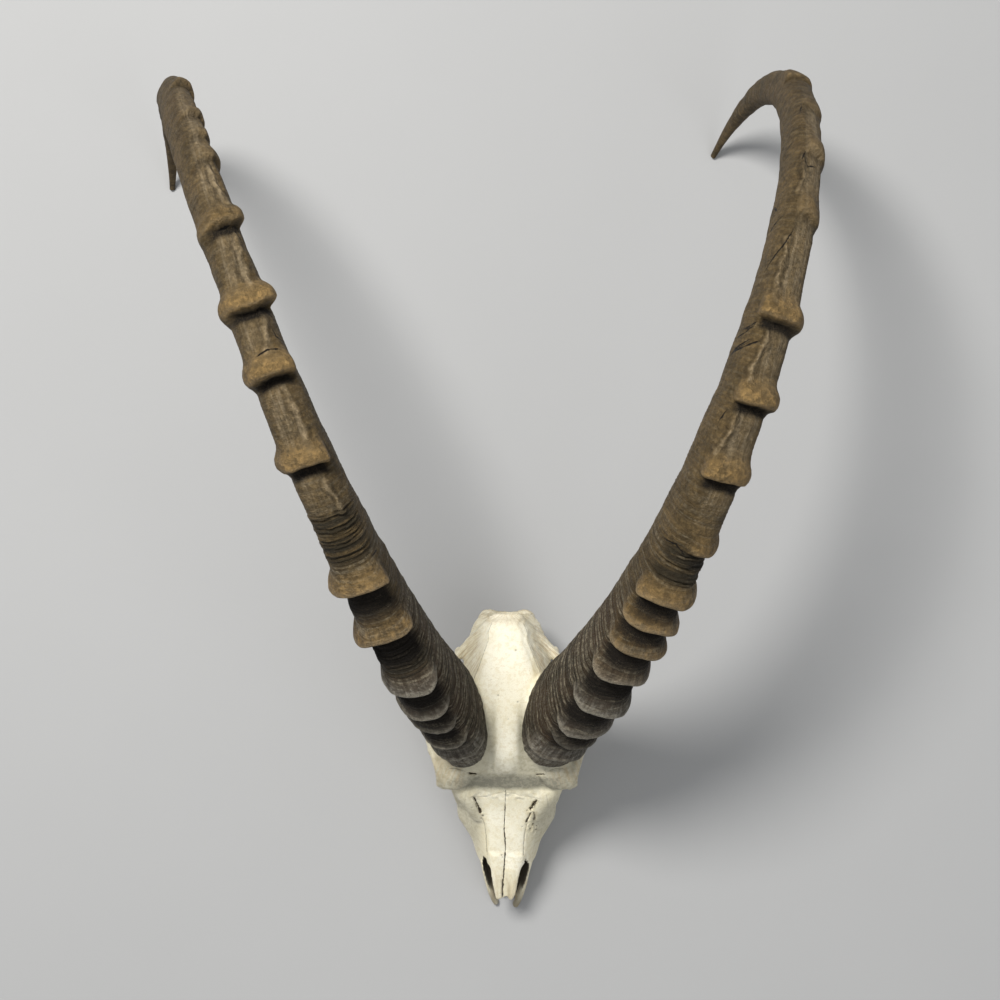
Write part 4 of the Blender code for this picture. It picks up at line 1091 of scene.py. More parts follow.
def knob_forms(horn, metres, degrees):
    """Rise, slide towards the base, rubbed faces, worn edges with painted highlights, and recesses with
    painted shade and dirt, of a horn's knobs.
    """
    length = horn["length"]
    rise = np.zeros(np.broadcast_shapes(metres.shape, degrees.shape))
    slide, knob, edge, cleft_shade_and_dirt = rise.copy(), rise.copy(), rise.copy(), rise.copy()
    previous = 0.0
    for place, height, reach, inner, outer, depth, curl, drop in horn["knobs"]:
        gap = (place - previous) * length
        previous = place
        base_knob = 1.0 - ease(np.array(place), 0.24, 0.34)
        # Its stretch round the horn, and the line that it wanders along.
        span = ease(degrees, inner - 8, inner + 14) * (1.0 - ease(degrees, outer - 45, outer))
        swing = curl * (1.0 - ease(degrees, inner - 5, inner + 34)) - drop * ease(degrees, 5, 85)
        wander = 0.0006 * np.sin(np.radians(degrees * 4.3) + place * 90.0)
        wander = wander + 0.0002 * np.sin(np.radians(degrees * 11.0) + place * 210.0)
        above = metres - place * length - swing - wander
        # Its section: long towards the tip, and a lip towards the base that is crisp in front.
        crisp = 1.0 - ease(degrees, 12 + 68 * base_knob, 56 + 64 * base_knob)
        nose = 0.0042 + 0.24 * height - 0.0012 * base_knob
        tipward = 0.78 * np.exp(-(np.abs(above / (0.62 * reach)) ** 3))
        tipward = tipward + 0.22 * hill(above, 0.0, 1.3 * reach)
        steep = np.sqrt(np.clip(1.0 - (above / nose) ** 2, 0.0, 1.0))
        gentle = np.cos(np.clip(above / 0.014, -1.0, 0.0) * math.pi / 2) ** 1.6
        bar = np.where(above >= 0, tipward, crisp * steep + (1.0 - crisp) * gentle)
        uneven = 1.0 + 0.16 * hill(degrees, inner + 26, 16) - 0.16 * hill(degrees, inner + 62, 20)
        uneven = uneven + 0.12 * np.sin(np.radians(degrees * 2.7) + place * 61.0)
        uneven = uneven * (1.0 - 0.22 * (1.0 - base_knob) * ease(degrees, 22, 58))
        rise += height * bar * span * uneven
        rise += 0.0013 * base_knob * span * min(height / 0.0050, 1.0) * hill(above, 0.0004, 0.0024)
        slide += 0.32 * height * span * crisp * hill(above, 0.0, 0.0055)
        # The recess below it, painted with shade and dirt as far down as the lip hides and a little further.
        below = np.clip(-above - nose, 0.0, 1.0)
        open_part = ease(degrees, inner - 2, inner + 20)
        open_part = open_part * (1.0 - ease(degrees, 34 + 31 * base_knob, 84 + 16 * base_knob))
        recess = open_part * ease(-above, nose - 0.0012, nose + 0.0014)
        rise -= depth * recess * np.exp(-((below / (0.0065 + 0.0025 * base_knob)) ** 1.5))
        hidden = (height + 0.5 * depth) * max(1.95 - 5.2 * place, 0.0)
        reach_down = hidden + base_knob * (0.004 + 0.36 * gap) + (1.0 - base_knob) * 0.0095
        dark = recess * (1.0 - ease(below, 0.60 * reach_down, 1.10 * reach_down)) * min(depth / 0.0042, 1.0)
        cleft_shade_and_dirt = np.maximum(cleft_shade_and_dirt, dark)
        # Its rubbed face, and its worn edge with a painted highlight along the lip's roll.
        plateau = (0.75 - 0.08 * base_knob) * reach
        lit = np.where(above >= 0, hill(above, 0.0, plateau), 1.0 - ease(-above, 0.70 * nose, 1.05 * nose))
        lit = lit * (1.0 - 0.55 * (1.0 - base_knob) * ease(degrees, 25, 75))
        knob = np.maximum(knob, lit * span * min(height / 0.0065, 1.0))
        # Painted highlight, with wear, along the roll of the lip.
        rim = hill(above, -(0.45 - 0.40 * base_knob) * nose, 0.0016 + 0.0010 * base_knob)
        edge = np.maximum(edge, rim * span * min(height / 0.0050, 1.0))
    return rise, slide, knob, edge, cleft_shade_and_dirt


def unrolled_lines(horn, kind, share, girth):
    """A horn's keel or cracks as lines on its skin laid flat, in millimetres."""
    lines = []
    for line in horn[kind]:
        corners = []
        for at, angle in line:
            local = np.interp(at, share[:, 0], girth[:, 0])
            corners.append((at * horn["length"] * MILLIMETRES, angle * MILLIMETRES_A_DEGREE * local))
        lines.append((corners, CRACK_HALF_WIDTH, 1.0))
    return lines


def horn_relief(horn, metres, degrees, girth):
    """How far the surface rises and slides towards the base, and what marks it at each place.

    Metres are along the horn, degrees round it from the front, and girth is the mean radius.
    """
    share = metres / horn["length"]
    rise, slide, knob, edge, cleft_shade_and_dirt = knob_forms(horn, metres, degrees)
    front = ease(degrees, -62, -36) * (1.0 - ease(degrees, 62, 92))
    knob = np.maximum(knob, 0.90 * front * (1.0 - ease(share, 0.016, 0.030)))
    cleft_shade_and_dirt = cleft_shade_and_dirt * (1.0 - 0.85 * knob)
    shaft = 1.0 - knob
    arc = np.broadcast_to(np.radians(degrees) * girth * MILLIMETRES, rise.shape).ravel()
    run = np.broadcast_to(metres * MILLIMETRES, rise.shape).ravel()
    wobble = 0.9 * np.sin(run * 0.19) + 0.5 * np.sin(run * 0.47 + 1.0)
    keel_lines = unrolled_lines(horn, "keel", share, girth)
    aside = trace_lines(np.stack((run, arc + wobble), axis=1), keel_lines)[2]
    aside = (aside * (1.0 + 0.30 * np.sin(run * 0.31))).reshape(rise.shape)
    keel = hill(aside, 0.0, 1.9)
    # Painted shade along the foot of the keel, where it meets the shaft.
    cleft_shade_and_dirt = np.maximum(cleft_shade_and_dirt, 0.40 * hill(aside, 4.0, 1.3) * (1.0 - knob))
    traced = trace_lines(np.stack((run, arc), axis=1), unrolled_lines(horn, "cracks", share, girth))
    across, crack, _ = (values.reshape(rise.shape) for values in traced)
    rise += 0.0020 * keel * (1.0 - 0.6 * knob)
    upper = ease(share, 0.29, 0.36) * (1.0 - ease(share, 0.66, 0.76))
    panel = upper * shaft * ease(degrees, -26, -10) * (1.0 - ease(degrees, 22, 52))
    rise -= 0.0020 * panel
    folds = np.zeros_like(rise)
    for start, end, strength in horn["wrinkles"]:
        band = ease(share, start - 0.012, start) * (1.0 - ease(share, end, end + 0.012))
        folds = np.maximum(folds, strength * band * ease(degrees, -75, -30) * (1.0 - ease(degrees, 40, 90)))
    marks = {
        "knob": knob, "edge": edge, "cleft_shade_and_dirt": cleft_shade_and_dirt, "keel": keel, "panel": panel, "folds": folds * shaft,
        "across": across, "crack": crack,
    }
    return rise, slide, marks


def horn_section(half_width, half_depth, angles, front, flank):
    """Offsets from the horn's middle to its skin, across and fore and aft, at angles from the front."""
    narrowing = 1.0 - HORN_BACK_TAPER * (0.5 - 0.5 * np.cos(angles))
    wide = half_width[:, None] * narrowing * rounded(np.sin(angles), HORN_SQUARENESS)
    deep = half_depth[:, None] * rounded(np.cos(angles), HORN_SQUARENESS)
    return wide[:, :, None] * flank[:, None, :] + deep[:, :, None] * front[:, None, :]


def horn_surface(horn):
    """Points of the sheath as rows of rings, with what its material reads at each of them."""
    shares = ring_shares(horn)
    root = -np.arange(ROOT_RINGS, 0, -1) * ROOT_LENGTH / ROOT_RINGS
    metres = np.concatenate((root, shares * horn["length"]))
    held = np.clip(metres / horn["length"], 0.0, 1.0)
    along, front, flank = horn_directions(horn, held)
    centres = horn_centres(horn, held) + along * np.minimum(metres, 0.0)[:, None]
    places, widths, depths = zip(*horn["sizes"])
    half_width = soft_row(places, widths, held) / 2
    half_depth = soft_row(places, depths, held) / 2
    turns = np.linspace(-math.pi, math.pi, SHEATH_SIDES, endpoint=False)
    angles = turns - 0.38 * np.sin(turns)
    section = horn_section(half_width, half_depth, angles, front, flank)
    points = centres[:, None, :] + section
    outward = section / np.linalg.norm(section, axis=2)[:, :, None]
    degrees = np.degrees(angles)[None, :]
    girth = ((half_width + half_depth) / 2)[:, None]
    rise, slide, marks = horn_relief(horn, metres[:, None], degrees, girth)
    share = held[:, None] * np.ones_like(rise)
    fading = 1.0 - ease(share, 0.90, 0.985)
    seed = 5.0 + horn["side"]
    lumps = 0.0011 * grain(points, 34.0, seed) + 0.0006 * grain(points, 95.0, seed)
    pores = grain(points, 310.0, seed)
    grooves = grain(np.stack((angles * 9.0 + 0.0 * share, share * 9.0, 0.0 * share), axis=2), 1.0, seed)
    young = 1.0 - ease(share, 0.05, 0.13)
    rise = rise + lumps + 0.00016 * pores + 0.0007 * young * grooves
    points = points + outward * (rise * fading)[:, :, None]
    points = points - along[:, None, :] * (slide * fading)[:, :, None]
    rings = 0.22 + 0.62 * (1.0 - ease(share, 0.12, 0.50)) + 2.2 * marks["folds"]
    rings = rings * (1.0 - 0.75 * marks["knob"]) * fading * ease(metres, 0.0, 0.004)[:, None]
    run = metres[:, None] + 0.5 * slide
    sheath = np.stack((girth * np.cos(angles), girth * np.sin(angles), run), axis=2)
    marks.update({"share": share, "rings": rings, "cleft_shade_and_dirt": np.clip(marks["cleft_shade_and_dirt"] * fading, 0.0, 1.0)})
    return points, sheath, marks


def grid_mesh(name, points):
    """A closed tube of quads through rows of rings, with a face at each end."""
    rows, sides = points.shape[:2]
    numbers = np.arange(rows * sides).reshape(rows, sides)
    neighbours = np.roll(numbers, -1, axis=1)
    quads = np.stack((numbers[:-1], neighbours[:-1], neighbours[1:], numbers[1:]), axis=2).reshape(-1, 4)
    faces = quads.tolist()
    faces.append(numbers[0, ::-1].tolist())
    faces.append(numbers[-1].tolist())
    mesh = bpy.data.meshes.new(name)
    mesh.from_pydata(points.reshape(-1, 3).tolist(), [], faces)
    return mesh


def write_mark(mesh, name, values, kind="FLOAT", field="value"):
    item = mesh.attributes.new(name, kind, "POINT")
    item.data.foreach_set(field, np.ascontiguousarray(values, dtype=np.float32).ravel())


def write_vectors(mesh, name, values):
    write_mark(mesh, name, values, "FLOAT_VECTOR", "vector")


def finish_form(form, name):
    """Turns a form into mesh data of its own, with its faces outward."""
    bmesh.ops.recalc_face_normals(form, faces=form.faces)
    data = bpy.data.meshes.new(name)
    form.to_mesh(data)
    form.free()
    return data


def seat_normal(side=1):
    """The way the skull faces where a horn stands on it."""
    outward = side * math.sin(SEAT_OUTWARD_SLOPE)
    return Vector((outward, -math.sin(SEAT_FORWARD_SLOPE), math.cos(SEAT_OUTWARD_SLOPE))).normalized()


def horn_base(horn):
    return Vector((SKULL_MIDLINE_X + horn["side"] * HORN_HALF_SPACING, HORN_BASE_Y, HORN_BASE_Z))


def cut_flat(mesh, place, keep_side, near, reach):
    """Cuts off an end of a mesh, near a point, at a plane, keeping what the direction points at."""
    faces = [face for face in mesh.faces if (face.calc_center_median() - near).length < reach]
    edges = {edge for face in faces for edge in face.edges}
    verts = {vert for face in faces for vert in face.verts}
    geometry = list(verts) + list(edges) + faces
    bmesh.ops.bisect_plane(mesh, geom=geometry, plane_co=place, plane_no=keep_side, clear_inner=True)
    open_edges = [edge for edge in mesh.edges if edge.is_boundary]
    bmesh.ops.holes_fill(mesh, edges=open_edges)


def build_ring_tree(name):
    """Geometry nodes that raise growth rings along a sheath and give it its material."""
    tree = bpy.data.node_groups.new(name, "GeometryNodeTree")
    face = tree.interface
    face.new_socket("Geometry", in_out="OUTPUT", socket_type="NodeSocketGeometry")
    face.new_socket("Geometry", in_out="INPUT", socket_type="NodeSocketGeometry")
    numbers = {"Ring depth": 0.0004, "Ring spacing": 0.0034, "Wander": 0.35, "Seed": 3.0}
    for label, default in numbers.items():
        face.new_socket(label, in_out="INPUT", socket_type="NodeSocketFloat").default_value = default
    face.new_socket("Material", in_out="INPUT", socket_type="NodeSocketMaterial")
    start = tree.nodes.new("NodeGroupInput")
    end = tree.nodes.new("NodeGroupOutput")
    named = "GeometryNodeInputNamedAttribute"
    sheath = place_node(tree, named, {"Name": "sheath"}, data_type="FLOAT_VECTOR")
    strength = place_node(tree, named, {"Name": "rings"}, data_type="FLOAT")
    parts = place_node(tree, "ShaderNodeSeparateXYZ", {"Vector": sheath.outputs["Attribute"]})
    turns = reckon(tree, "DIVIDE", parts.outputs["Z"], start.outputs["Ring spacing"])
    wander = place_node(
        tree, "ShaderNodeTexNoise",
        {"Vector": sheath.outputs["Attribute"], "W": start.outputs["Seed"], "Scale": 45.0, "Detail": 2.0},
        noise_dimensions="4D",
    )
    drift = times(tree, wander.outputs["Fac"], times(tree, start.outputs["Wander"], 6.0))
    wave = reckon(tree, "SINE", times(tree, reckon(tree, "ADD", turns, drift), math.tau))
    uneven = place_node(
        tree, "ShaderNodeTexNoise",
        {"W": times(tree, parts.outputs["Z"], 180.0), "Scale": 1.0, "Detail": 3.0}, noise_dimensions="1D",
    )
    bold = remap(tree, uneven.outputs["Fac"], 0.35, 0.70, 0.25, 1.4)
    height = times(tree, wave, bold, start.outputs["Ring depth"], strength.outputs["Attribute"])
    normal = tree.nodes.new("GeometryNodeInputNormal")
    offset = place_node(
        tree, "ShaderNodeVectorMath", {0: normal.outputs["Normal"], "Scale": height}, operation="SCALE"
    )
    raised = place_node(
        tree, "GeometryNodeSetPosition",
        {"Geometry": start.outputs["Geometry"], "Offset": offset.outputs["Vector"]},
    )
    whole = place_node(tree, "GeometryNodeRealizeInstances", {"Geometry": raised.outputs["Geometry"]})
    dressed = place_node(
        tree, "GeometryNodeSetMaterial",
        {"Geometry": whole.outputs["Geometry"], "Material": start.outputs["Material"]},
    )
    tree.links.new(dressed.outputs["Geometry"], end.inputs["Geometry"])
    return tree


def set_inputs(modifier, values):
    """Sets a Geometry Nodes modifier's inputs, found by name, through their identifiers."""
    for item in modifier.node_group.interface.items_tree:
        if item.in_out == "INPUT" and item.name in values:
            modifier[item.identifier] = values[item.name]


def make_plain(item):
    """Replaces an object's mesh by what its modifiers make of it."""
    depsgraph = bpy.context.evaluated_depsgraph_get()
    made = bpy.data.meshes.new_from_object(item.evaluated_get(depsgraph), depsgraph=depsgraph)
    item.modifiers.clear()
    item.data = made


def link(name, data):
    item = bpy.data.objects.new(name, data)
    bpy.context.scene.collection.objects.link(item)
    return item


def make_horn_sheath(name, horn, settings, material):
    """One horn sheath: its form in code, its growth rings by geometry nodes."""
    points, sheath, marks = horn_surface(horn)
    mesh = grid_mesh(name, points)
    write_vectors(mesh, "sheath", sheath)
    for label, values in marks.items():
        write_mark(mesh, label, values)
    item = link(name, mesh)
    mesh.materials.append(material)
    rings = item.modifiers.new("growth rings", "NODES")
    rings.node_group = bpy.data.node_groups.get("Growth rings") or build_ring_tree("Growth rings")
    set_inputs(rings, {
        "Ring depth": settings.ring_depth,
        "Ring spacing": settings.ring_spacing,
        "Seed": 3.0 + horn["side"],
        "Material": material,
    })
    bpy.context.view_layer.update()
    make_plain(item)
    mesh = bmesh.new()
    mesh.from_mesh(item.data)
    cut_flat(mesh, Vector(), seat_normal(), Vector(), SEAT_CUT_REACH)
    floor = Vector((0, 0, -HORN_BASE_Z + 0.0001))
    cut_flat(mesh, floor, Vector((0, 0, 1)), Vector(points[-1].mean(axis=0)), SEAT_CUT_REACH)
    if horn["side"] < 0:
        bmesh.ops.scale(mesh, vec=(-1, 1, 1), verts=mesh.verts)
    bmesh.ops.translate(mesh, vec=horn_base(horn), verts=mesh.verts)
    bmesh.ops.recalc_face_normals(mesh, faces=mesh.faces)
    mesh.to_mesh(item.data)
    mesh.free()
    item.data.shade_smooth()
    item.data.set_sharp_from_angle(angle=math.radians(70))
    return item


def add_stalk(mesh, horn, lengths, grow=-STALK_RIM_INSET):
    """The stalk of bone that a horn sits on, or with lengths past the seat, room for the horn."""
    along, front, flank = horn_directions(horn, np.zeros(1))
    half_width, half_depth = (np.array([size]) / 2 for size in horn["sizes"][0][1:])
    angles = np.linspace(0, math.tau, STALK_SIDES, endpoint=False)
    outline = horn_section(half_width, half_depth, angles, front, flank)[0]
    place = SKULL_POSE.inverted() @ Matrix.Translation(horn_base(horn))
    inset = 1.0 + grow / half_width[0]
    rings = []
    for distance, share in lengths:
        ring = []
        for point in outline * share * inset + along[0] * distance:
            ring.append(place @ Vector((horn["side"] * point[0], point[1], point[2])))
        rings.append(ring)
    add_loft(mesh, rings)


def make_seat_plugs():
    """Solids that cut the horns' seats into the skull, in the level skull's frame."""
    mesh = bmesh.new()
    to_level = SKULL_POSE.inverted()
    for horn in (HORN_LEFT, HORN_RIGHT):
        plug = bmesh.new()
        add_stalk(plug, horn, ((-0.05, 1.0), (0.0, 1.0), (0.09, 0.97)), SEAT_SLACK)
        centre = to_level @ horn_base(horn)
        facing = to_level.to_3x3() @ seat_normal(horn["side"])
        cut_flat(plug, centre - facing * SEAT_SLACK, facing, centre, 1.0)
        mesh.from_mesh(finish_form(plug, "seat plug"))
    return mesh


def make_bones():
    """The bones of the skull as forms that run into each other."""
    mesh = bmesh.new()
    add_skull_body(mesh)
    for limb in (FRONTAL_RIDGE, *NOSE_LIMBS):
        add_limb(mesh, limb)
    for limb in PAIRED_LIMBS.values():
        for side in (1, -1):
            add_limb(mesh, limb, side)
    for swelling in SWELLINGS:
        add_swelling(mesh, *swelling)
    add_orbit_rims(mesh)
    for horn in (HORN_LEFT, HORN_RIGHT):
        add_stalk(mesh, horn, ((-STALK_BURIED, STALK_FOOT_SHARE), (0.0, 1.0), (0.03, 1.0)))
    return mesh


def make_hollows():
    """The hollows of the eyes, the nose, the throat and the braincase's opening."""
    mesh = bmesh.new()
    for side in (1, -1):
        add_limb(mesh, ORBIT_HOLLOW, side)
    for hollow in MIDLINE_HOLLOWS + NOSE_SLOTS:
        add_limb(mesh, hollow)
    return mesh


def grow_skull(fineness):
    """All the bones grown together, hollowed and cut to the horns' seats, as one smooth mesh."""
    skull = link("cranium_bone", finish_form(make_bones(), "cranium_bone"))
    grow_together(skull, fineness, 9)
    cutters = []
    for name, form in (("hollows", make_hollows()), ("seats", make_seat_plugs())):
        cutter = link(name, finish_form(form, name))
        cut = skull.modifiers.new(name, "BOOLEAN")
        cut.operation = "DIFFERENCE"
        cut.solver = "MANIFOLD"
        cut.object = cutter
        cutters.append(cutter)
    grow_together(skull, fineness, 4)
    bpy.context.view_layer.update()
    make_plain(skull)
    for cutter in cutters:
        bpy.data.objects.remove(cutter)
    return skull


def grow_together(item, fineness, rounds):
    """Fuses the forms into one skin and softens where they meet."""
    remesh = item.modifiers.new("one skin", "REMESH")
    remesh.mode = "VOXEL"
    remesh.voxel_size = fineness
    soften = item.modifiers.new("soft joins", "SMOOTH")
    soften.factor = 0.5
    soften.iterations = rounds


def refine(mesh, lines, reach):
    """Halves the faces of the upper side that lie within a reach of the lines."""
    faces = []
    for face in mesh.faces:
        centre = face.calc_center_median()
        if face.normal.z > 0.05 and centre.z > 0.03:
            faces.append((face, centre))
    plan = np.array([centre for _, centre in faces])[:, :2] * MILLIMETRES
    close = trace_lines(plan, lines)[2] < reach
    edges = {edge for (face, _), near in zip(faces, close) if near for edge in face.edges}
    bmesh.ops.subdivide_edges(mesh, edges=list(edges), cuts=1, use_grid_fill=True)


def keep_largest(mesh):
    """Deletes the crumbs of bone that hang on nothing."""
    left = set(mesh.verts)
    islands = []
    while left:
        seed = left.pop()
        island, frontier = [seed], [seed]
        while frontier:
            for edge in frontier.pop().link_edges:
                for vert in left.intersection(edge.verts):
                    left.discard(vert)
                    island.append(vert)
                    frontier.append(vert)
        islands.append(island)
    islands.sort(key=len)
    crumbs = [vert for island in islands[:-1] for vert in island]
    bmesh.ops.delete(mesh, geom=crumbs, context="VERTS")


def skull_places(points, normals):
    """Where each point of the level skull is, in metres and in plan in millimetres."""
    upward = ease(normals[:, 2], 0.0, 0.35) * (points[:, 2] > 0.03)
    return SimpleNamespace(
        points=points, normals=normals, upward=upward, plan=points[:, :2] * MILLIMETRES,
        aside=points[:, 0], width=np.abs(points[:, 0]), back=points[:, 1], high=points[:, 2],
    )


def fan_angle(at):
    """The way from the centre of the fan of fibres to each point."""
    return np.arctan2(at.aside, FAN_CENTRE - at.back)


def pit_distances(at):
    """For each pit, its size and how far each point is from it."""
    for x, y, size in PITS:
        yield size, np.hypot(at.plan[:, 0] - x, at.plan[:, 1] - y)


def raise_detail(at):
    """How far each point of the skull moves along its normal, for its seams, lines and roughness."""
    rise = np.zeros(len(at.points))
    for line, half_width, depth, _ in SEAMS:
        distance = trace_lines(at.plan, [(line, 1.0, 1.0)])[2]
        rise -= 0.001 * depth * hill(distance, 0.0, max(half_width, 0.7)) * at.upward
    for size, distance in pit_distances(at):
        rise -= 0.0011 * size * hill(distance, 0.0, max(size, 0.6)) * at.upward
    for line in TEMPORAL_LINES:
        distance = trace_lines(at.plan, [(line, 1.0, 1.0)])[2]
        rise += (0.0005 * hill(distance, 0.0, 1.4) - 0.0003 * hill(distance, 3.0, 1.6)) * at.upward
    rise += 0.0005 * grain(at.points, 42.0, 2.0) + 0.00012 * grain(at.points, 300.0, 7.0)
    nodules = hill(at.back, 0.1285, 0.0040) * (1.0 - ease(at.width, 0.030, 0.036)) * at.upward
    rise += 0.0022 * nodules * np.maximum(grain(at.points, 190.0, 4.0), -0.15)
    rough = hill(at.aside, 0.0240, 0.006) * hill(at.back, 0.0950, 0.009) * at.upward
    rise += 0.0016 * rough * grain(at.points, 380.0, 1.0)
    fanned = np.stack((fan_angle(at) * 0.045, at.high * 0.12, at.back * 0.1), axis=1)
    beside_braincase = ease(at.width, 0.020, 0.030) * ease(at.back, 0.238, 0.252)
    streaky = np.maximum(beside_braincase, ease(at.back, 0.284, 0.290))
    rise += 0.0006 * streaky * grain(fanned, 900.0, 9.0)
    return rise


def stain_and_shade_mask(at, broad):
    """Darker in the pits and the hollow beside the nose, painted shade inside the nose, and the tips of the
    upper jaw.
    """
    hollow = np.hypot((at.plan[:, 0] - 25.0) / 1.8, (at.plan[:, 1] - 105.5) / 5.0)
    stain_and_shade = 0.45 * hill(hollow, 0.0, 1.0) * at.upward
    for size, distance in pit_distances(at):
        stain_and_shade = np.maximum(stain_and_shade, min(0.55 + size / 2, 1.0) * hill(distance, 0.0, 0.75 * size) * at.upward)
    # Painted shade on the walls, roof and floor inside the nose.
    inward = ease(-at.normals[:, 0] * np.sign(at.aside), 0.1, 0.5)
    nose = (at.back < 0.125) * (at.width < 0.0225) * (at.high > 0.012) * (at.high < 0.052)
    walls = 0.9 * nose * inward * ease(at.back, 0.016, 0.030)
    roof = 0.9 * nose * (at.normals[:, 2] < 0.2) * (at.width < 0.017) * (at.back > 0.040)
    inner_edge = 0.0120 + 0.27 * (at.back - 0.024)
    floor = 0.95 * (at.back > 0.016) * (at.back < 0.085) * (at.high < 0.030) * (at.width < inner_edge)
    tips = (1.0 - ease(at.back, 0.006, 0.030)) * (1.0 - ease(at.high, 0.030, 0.036))
    return np.maximum.reduce((stain_and_shade, walls, roof, floor, tips * (0.42 + 0.35 * broad)))


def fibrous_mask(at):
    """Frayed bone beside the braincase, on the crest, on the tips of the jaw and over the orbits."""
    return np.maximum.reduce((
        0.9 * ease(at.width, 0.018, 0.030) * ease(at.back, 0.236, 0.250) * at.upward,
        0.8 * ease(at.back, 0.283, 0.290),
        0.55 * (1.0 - ease(at.back, 0.030, 0.060)),
        0.55 * ease(at.width, 0.034, 0.046) * hill(at.back, 0.156, 0.016) * at.upward,
    ))


def pale_parts(at):
    """The whitest bone: the nodules in front of the forehead, the orbits' rims, and all of it, with painted
    light on the top of the vault and along the crest of the forehead's ridge.
    """
    nodules = 0.6 * hill(at.back, 0.128, 0.006) * (1.0 - ease(at.width, 0.028, 0.036)) * at.upward
    rim = 0.9 * ease(at.width, 0.0645, 0.068) * hill(at.back, 0.154, 0.022)
    # Painted light: the top of the vault and the crest of the ridge are lighter, as if lit from above.
    dome = ease(at.back, 0.200, 0.226) * (1.0 - ease(at.width, 0.016, 0.030)) * at.upward
    ridge = 0.80 * (1.0 - ease(at.width, 0.008, 0.012)) * ease(at.back, 0.1485, 0.1535)
    ridge = ridge * (at.back < 0.24) * at.upward
    nasal = 0.90 * hill(at.back, 0.082, 0.046) * (1.0 - ease(at.width, 0.014, 0.021)) * at.upward
    flares = 0.55 * ease(at.width, 0.018, 0.028) * ease(at.back, 0.232, 0.248)
    return nodules, rim, np.maximum.reduce((dome, ridge, nasal, nodules, rim, flares))


def dull_and_shade_mask(at, broad, nodules, rim):
    """Greyer bone of the forehead and brows, and painted shade in the valleys beside its ridge, round the
    ridge's front end, on the cheeks and on the lower side.
    """
    wavy = at.back + 0.0016 * broad
    fading = 0.62 * ease(wavy, 0.1450, 0.1570)
    low = ease(wavy, 0.1320, 0.1390) * (1.0 - fading - 0.38 * ease(wavy, 0.158, 0.180))
    forehead = low * (1.0 - 0.45 * ease(at.width, 0.040, 0.064)) * (1.0 - 0.7 * nodules)
    # Painted shade in the valleys beside the ridge, darker on the animal's left, away from the key light.
    shade = np.where(at.aside > 0, 0.62, 0.42)
    valley = shade * ease(at.width, 0.0075, 0.0125) * ease(wavy, 0.148, 0.156)
    valley = valley * (1.0 - ease(wavy, 0.198, 0.226))
    # Painted shadow round the ridge's front end.
    front_end = np.hypot(at.aside / 0.0115, (at.back - 0.1615) / 0.0120)
    valley = np.maximum(valley, 0.62 * hill(front_end, 1.15, 0.16) * (at.back < 0.162))
    # Painted shade on the sides of the cheeks.
    cheek = 0.50 * ease(at.width, 0.019, 0.030) * hill(at.back, 0.100, 0.036)
    brow = 0.60 * ease(at.width, 0.030, 0.044) * ease(wavy, 0.1380, 0.1450)
    brow = brow * (1.0 - ease(at.back, 0.166, 0.178)) * (1.0 - rim)
    dull_and_shade = np.maximum.reduce((forehead, valley, cheek, brow)) * at.upward
    # Painted shade on the lower side, where the bone faces away from the light above.
    return np.maximum(dull_and_shade, 0.40 * (1.0 - ease(at.normals[:, 2], -0.2, 0.3)))


def mark_skull(mesh):
    """Writes what the bone's material reads: dirt and painted shade, bleaching and painted light, dullness
    and painted shade, fibres and seams.
    """
    points = np.array([vert.co for vert in mesh.vertices])
    normals = np.array([vert.normal for vert in mesh.vertices])
    at = skull_places(points, normals)
    broad = grain(points, 60.0, 2.0)
    nodules, rim, bleach_and_light = pale_parts(at)
    masks = {
        "stain_and_shade": stain_and_shade_mask(at, broad),
        "fibrous": fibrous_mask(at),
        "bleach_and_light": bleach_and_light,
        "dull_and_shade": dull_and_shade_mask(at, broad, nodules, rim),
    }
    for name, values in masks.items():
        write_mark(mesh, name, np.clip(values, 0.0, 1.0))
    drawn = [(line, half_width, dark) for line, half_width, _, dark in SEAMS]
    drawn += [(line, 0.30, 0.42) for line in TEMPORAL_LINES]
    across, strength, _ = trace_lines(at.plan, drawn)
    write_mark(mesh, "across", across)
    write_mark(mesh, "crack", strength * at.upward)
    from_fan = np.hypot(at.aside, FAN_CENTRE - at.back)
    write_vectors(mesh, "fibre", np.stack((at.high, from_fan, fan_angle(at) * 0.05), axis=1))


def smooth_ridge(mesh):
    """Softens the ridge of the forehead."""
    ridge = []
    for vert in mesh.verts:
        if abs(vert.co.x) < 0.0155 and 0.145 < vert.co.y < 0.245 and vert.co.z > 0.09:
            ridge.append(vert)
    for _ in range(5):
        bmesh.ops.smooth_vert(
            mesh, verts=ridge, factor=0.5, use_axis_x=True, use_axis_y=True, use_axis_z=True
        )


def detail_skull(skull):
    """Raises the skull's detail in a finer mesh, thins the mesh again and marks it."""
    lines = [(line, 1.0, 1.0) for line, _, _, _ in SEAMS]
    lines += [(((x, y), (x + 0.1, y)), 1.0, 1.0) for x, y, _ in PITS]
    mesh = bmesh.new()
    mesh.from_mesh(skull.data)
    keep_largest(mesh)
    smooth_ridge(mesh)
    refine(mesh, lines, 2.2)
    bmesh.ops.triangulate(mesh, faces=mesh.faces)
    mesh.normal_update()
    points = np.array([vert.co for vert in mesh.verts])
    normals = np.array([vert.normal for vert in mesh.verts])
    moved = points + normals * raise_detail(skull_places(points, normals))[:, None]
    for vert, place in zip(mesh.verts, moved.tolist()):
        vert.co = place
    mesh.to_mesh(skull.data)
    mesh.free()
    thin = skull.modifiers.new("thinned", "DECIMATE")
    thin.ratio = min(1.0, SKULL_TRIANGLES / len(skull.data.polygons))
    bpy.context.view_layer.update()
    make_plain(skull)
    mark_skull(skull.data)


